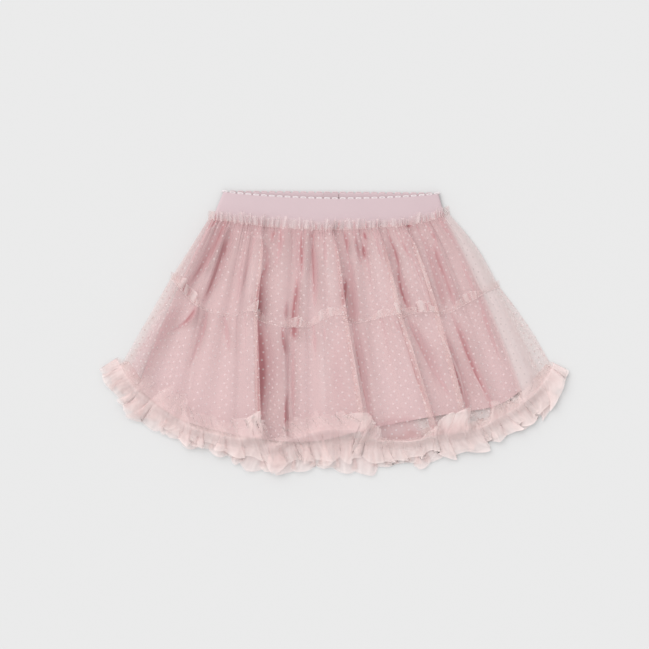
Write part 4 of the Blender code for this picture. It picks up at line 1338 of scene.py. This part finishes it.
# ==== the whole skirt ====
def make_studio():
    """A plain pale floor, soft light from the upper left and a camera straight above."""
    scene = bpy.context.scene
    scene.view_settings.view_transform = "Standard"
    scene.cycles.transparent_max_bounces = 64  # enough for every layer of net
    world = bpy.data.worlds.new("studio")
    world.use_nodes = True
    sky = world.node_tree.nodes["Background"]
    sky.inputs["Color"].default_value = (1, 1, 1, 1)
    sky.inputs["Strength"].default_value = SKY_STRENGTH
    scene.world = world

    bpy.ops.mesh.primitive_plane_add(size=FLOOR_SIZE, location=(0, 0, FLOOR_Z))
    floor = bpy.context.object
    floor.name = "floor"
    floor.data.materials.append(floor_finish())

    lamp = bpy.data.lights.new("key", "SUN")
    lamp.energy = LAMP_STRENGTH
    lamp.angle = math.radians(LAMP_SPREAD)
    key = bpy.data.objects.new("key", lamp)
    key.rotation_euler = (math.radians(90 - LAMP_HEIGHT), 0, math.radians(LAMP_TURN))
    scene.collection.objects.link(key)

    lens = bpy.data.cameras.new("camera")
    lens.sensor_width = 36
    lens.lens = lens.sensor_width * CAMERA_HEIGHT / VIEW_WIDTH
    lens.clip_end = 30
    camera = bpy.data.objects.new("camera", lens)
    camera.location = (VIEW_MIDDLE[0], VIEW_MIDDLE[1], CAMERA_HEIGHT)
    scene.collection.objects.link(camera)
    scene.camera = camera


def belongs(piece, slot, *nodes):
    """The piece is part of the skirt and stands for nodes, which it hides. slot is not used."""
    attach(piece, "root")
    if nodes:
        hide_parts(*nodes)
    return piece


def sewing():
    """Gives what sews stitches along a line, always with the same thread."""
    thread, stitches = thread_finish("sewing thread", THREAD_COLOUR), stitches_recipe()

    def sewn(name, points, slot, stitch):
        sizes = {"Pitch": stitch.pitch * MM, "Stitch Length": stitch.length * MM}
        sizes |= {"Thread": stitch.thread * MM, "Finish": thread}
        return belongs(sewn_along(name, stitches, points, sizes), slot)

    return sewn


def dress_band(front, back, sewn):
    """The elastic band, and a list of its picots and the stitches of its join."""
    band = thicken(sheet_of_cloth("waistband", tube(front, back), elastic_finish()), BAND_WALL)
    belongs(band, "elastic", "waistband_front", "waistband_back")
    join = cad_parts["elastic_join"]
    join.data.materials.clear()
    join.data.materials.append(join_finish())

    trims = []
    loops = picots_recipe()
    sizes = {"Pitch": PICOT_PITCH * MM, "Loop Length": PICOT_LENGTH * MM}
    sizes |= {"Loop Height": PICOT_HEIGHT * MM, "Thread": PICOT_THREAD * MM}
    edges = ("front", front[0], PICOT_HIGHLIT_COLOUR), ("back", back[0][::-1], PICOT_BACK_COLOUR)
    for side, edge, colour in edges:
        sizes["Finish"] = thread_finish("picot thread, " + side, colour)
        trims.append(belongs(sewn_along("picots_" + side, loops, edge, sizes), "elastic"))
    low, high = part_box("elastic_join")
    for side, x in (("left", low.x), ("right", high.x)):
        ys = np.linspace(low.y / MM + 1, high.y / MM - 1, 20)
        line = laid_out(x / MM, ys, high.z / MM + 0.1)
        trims.append(sewn("join_stitches_" + side, line, "elastic", JOIN_STITCH))
    return band, trims


def tier_cloth(tier, grid):
    net = net_finish("dotted tulle, " + tier.name, tier.cut, *TULLE_TONES)
    return belongs(sheet_of_cloth(tier.name + "_tier", grid, net), "dotted_tulle", *tier.nodes)


def tier_dots(tier, cloth, dots, flock):
    sizes = {"Dots Across": tier.dots_across, "Dots Down": tier.dots_down, "Scatter": DOT_SCATTER}
    sizes |= {"Dot Radius": DOT_RADIUS * MM, "Dot Height": DOT_HEIGHT * MM, "Finish": flock}
    return belongs(grown(tier.name + "_dots", dots, cloth, sizes), "dotted_tulle")


def tier_stitches(tier, grid, sewn):
    seam = grid[HEADING_ROWS, :FRONT_COLUMNS, :3] + (0, 0, tier.stitches_above)
    return sewn(tier.seam + "_stitches", seam, "dotted_tulle", tier.stitch)


def dress_tiers(grids, sewn):
    """For each tier its cloth, and a list of its dots and the stitches of its seam."""
    cloths = [tier_cloth(*both) for both in zip(TIERS, grids)]
    dots, flock = dots_recipe(), dot_finish()
    dotted = [tier_dots(*both, dots, flock) for both in zip(TIERS, cloths)]
    stitched = [tier_stitches(*both, sewn) for both in zip(TIERS, grids)]
    return [(cloth, list(trims)) for cloth, *trims in zip(cloths, dotted, stitched)]


def main():
    make_studio()
    sewn = sewing()
    lining_front, lining_back = lining_grid()
    lining = sheet_of_cloth("lining", tube(lining_front, lining_back), lining_finish())
    belongs(thicken(lining, LINING_WALL), "lining", "lining_front", "lining_back")
    band_front, band_back = band_grid()
    band, band_trims = dress_band(band_front, band_back, sewn)
    grids = tier_grids(Ground(lining_front, band_front))
    (upper, upper_trims), (lower, lower_trims) = dress_tiers(grids, sewn)
    net = net_finish("plain tulle", FRILL_CUT, *FRILL_TONES)
    frill = sheet_of_cloth("hem_frill", frill_grid(Ground(lining_front, *grids)), net)
    belongs(frill, "plain_tulle", "hem_frill_front", "hem_frill_back")

    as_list(band_trims)
    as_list(upper_trims)
    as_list(lower_trims)


main()
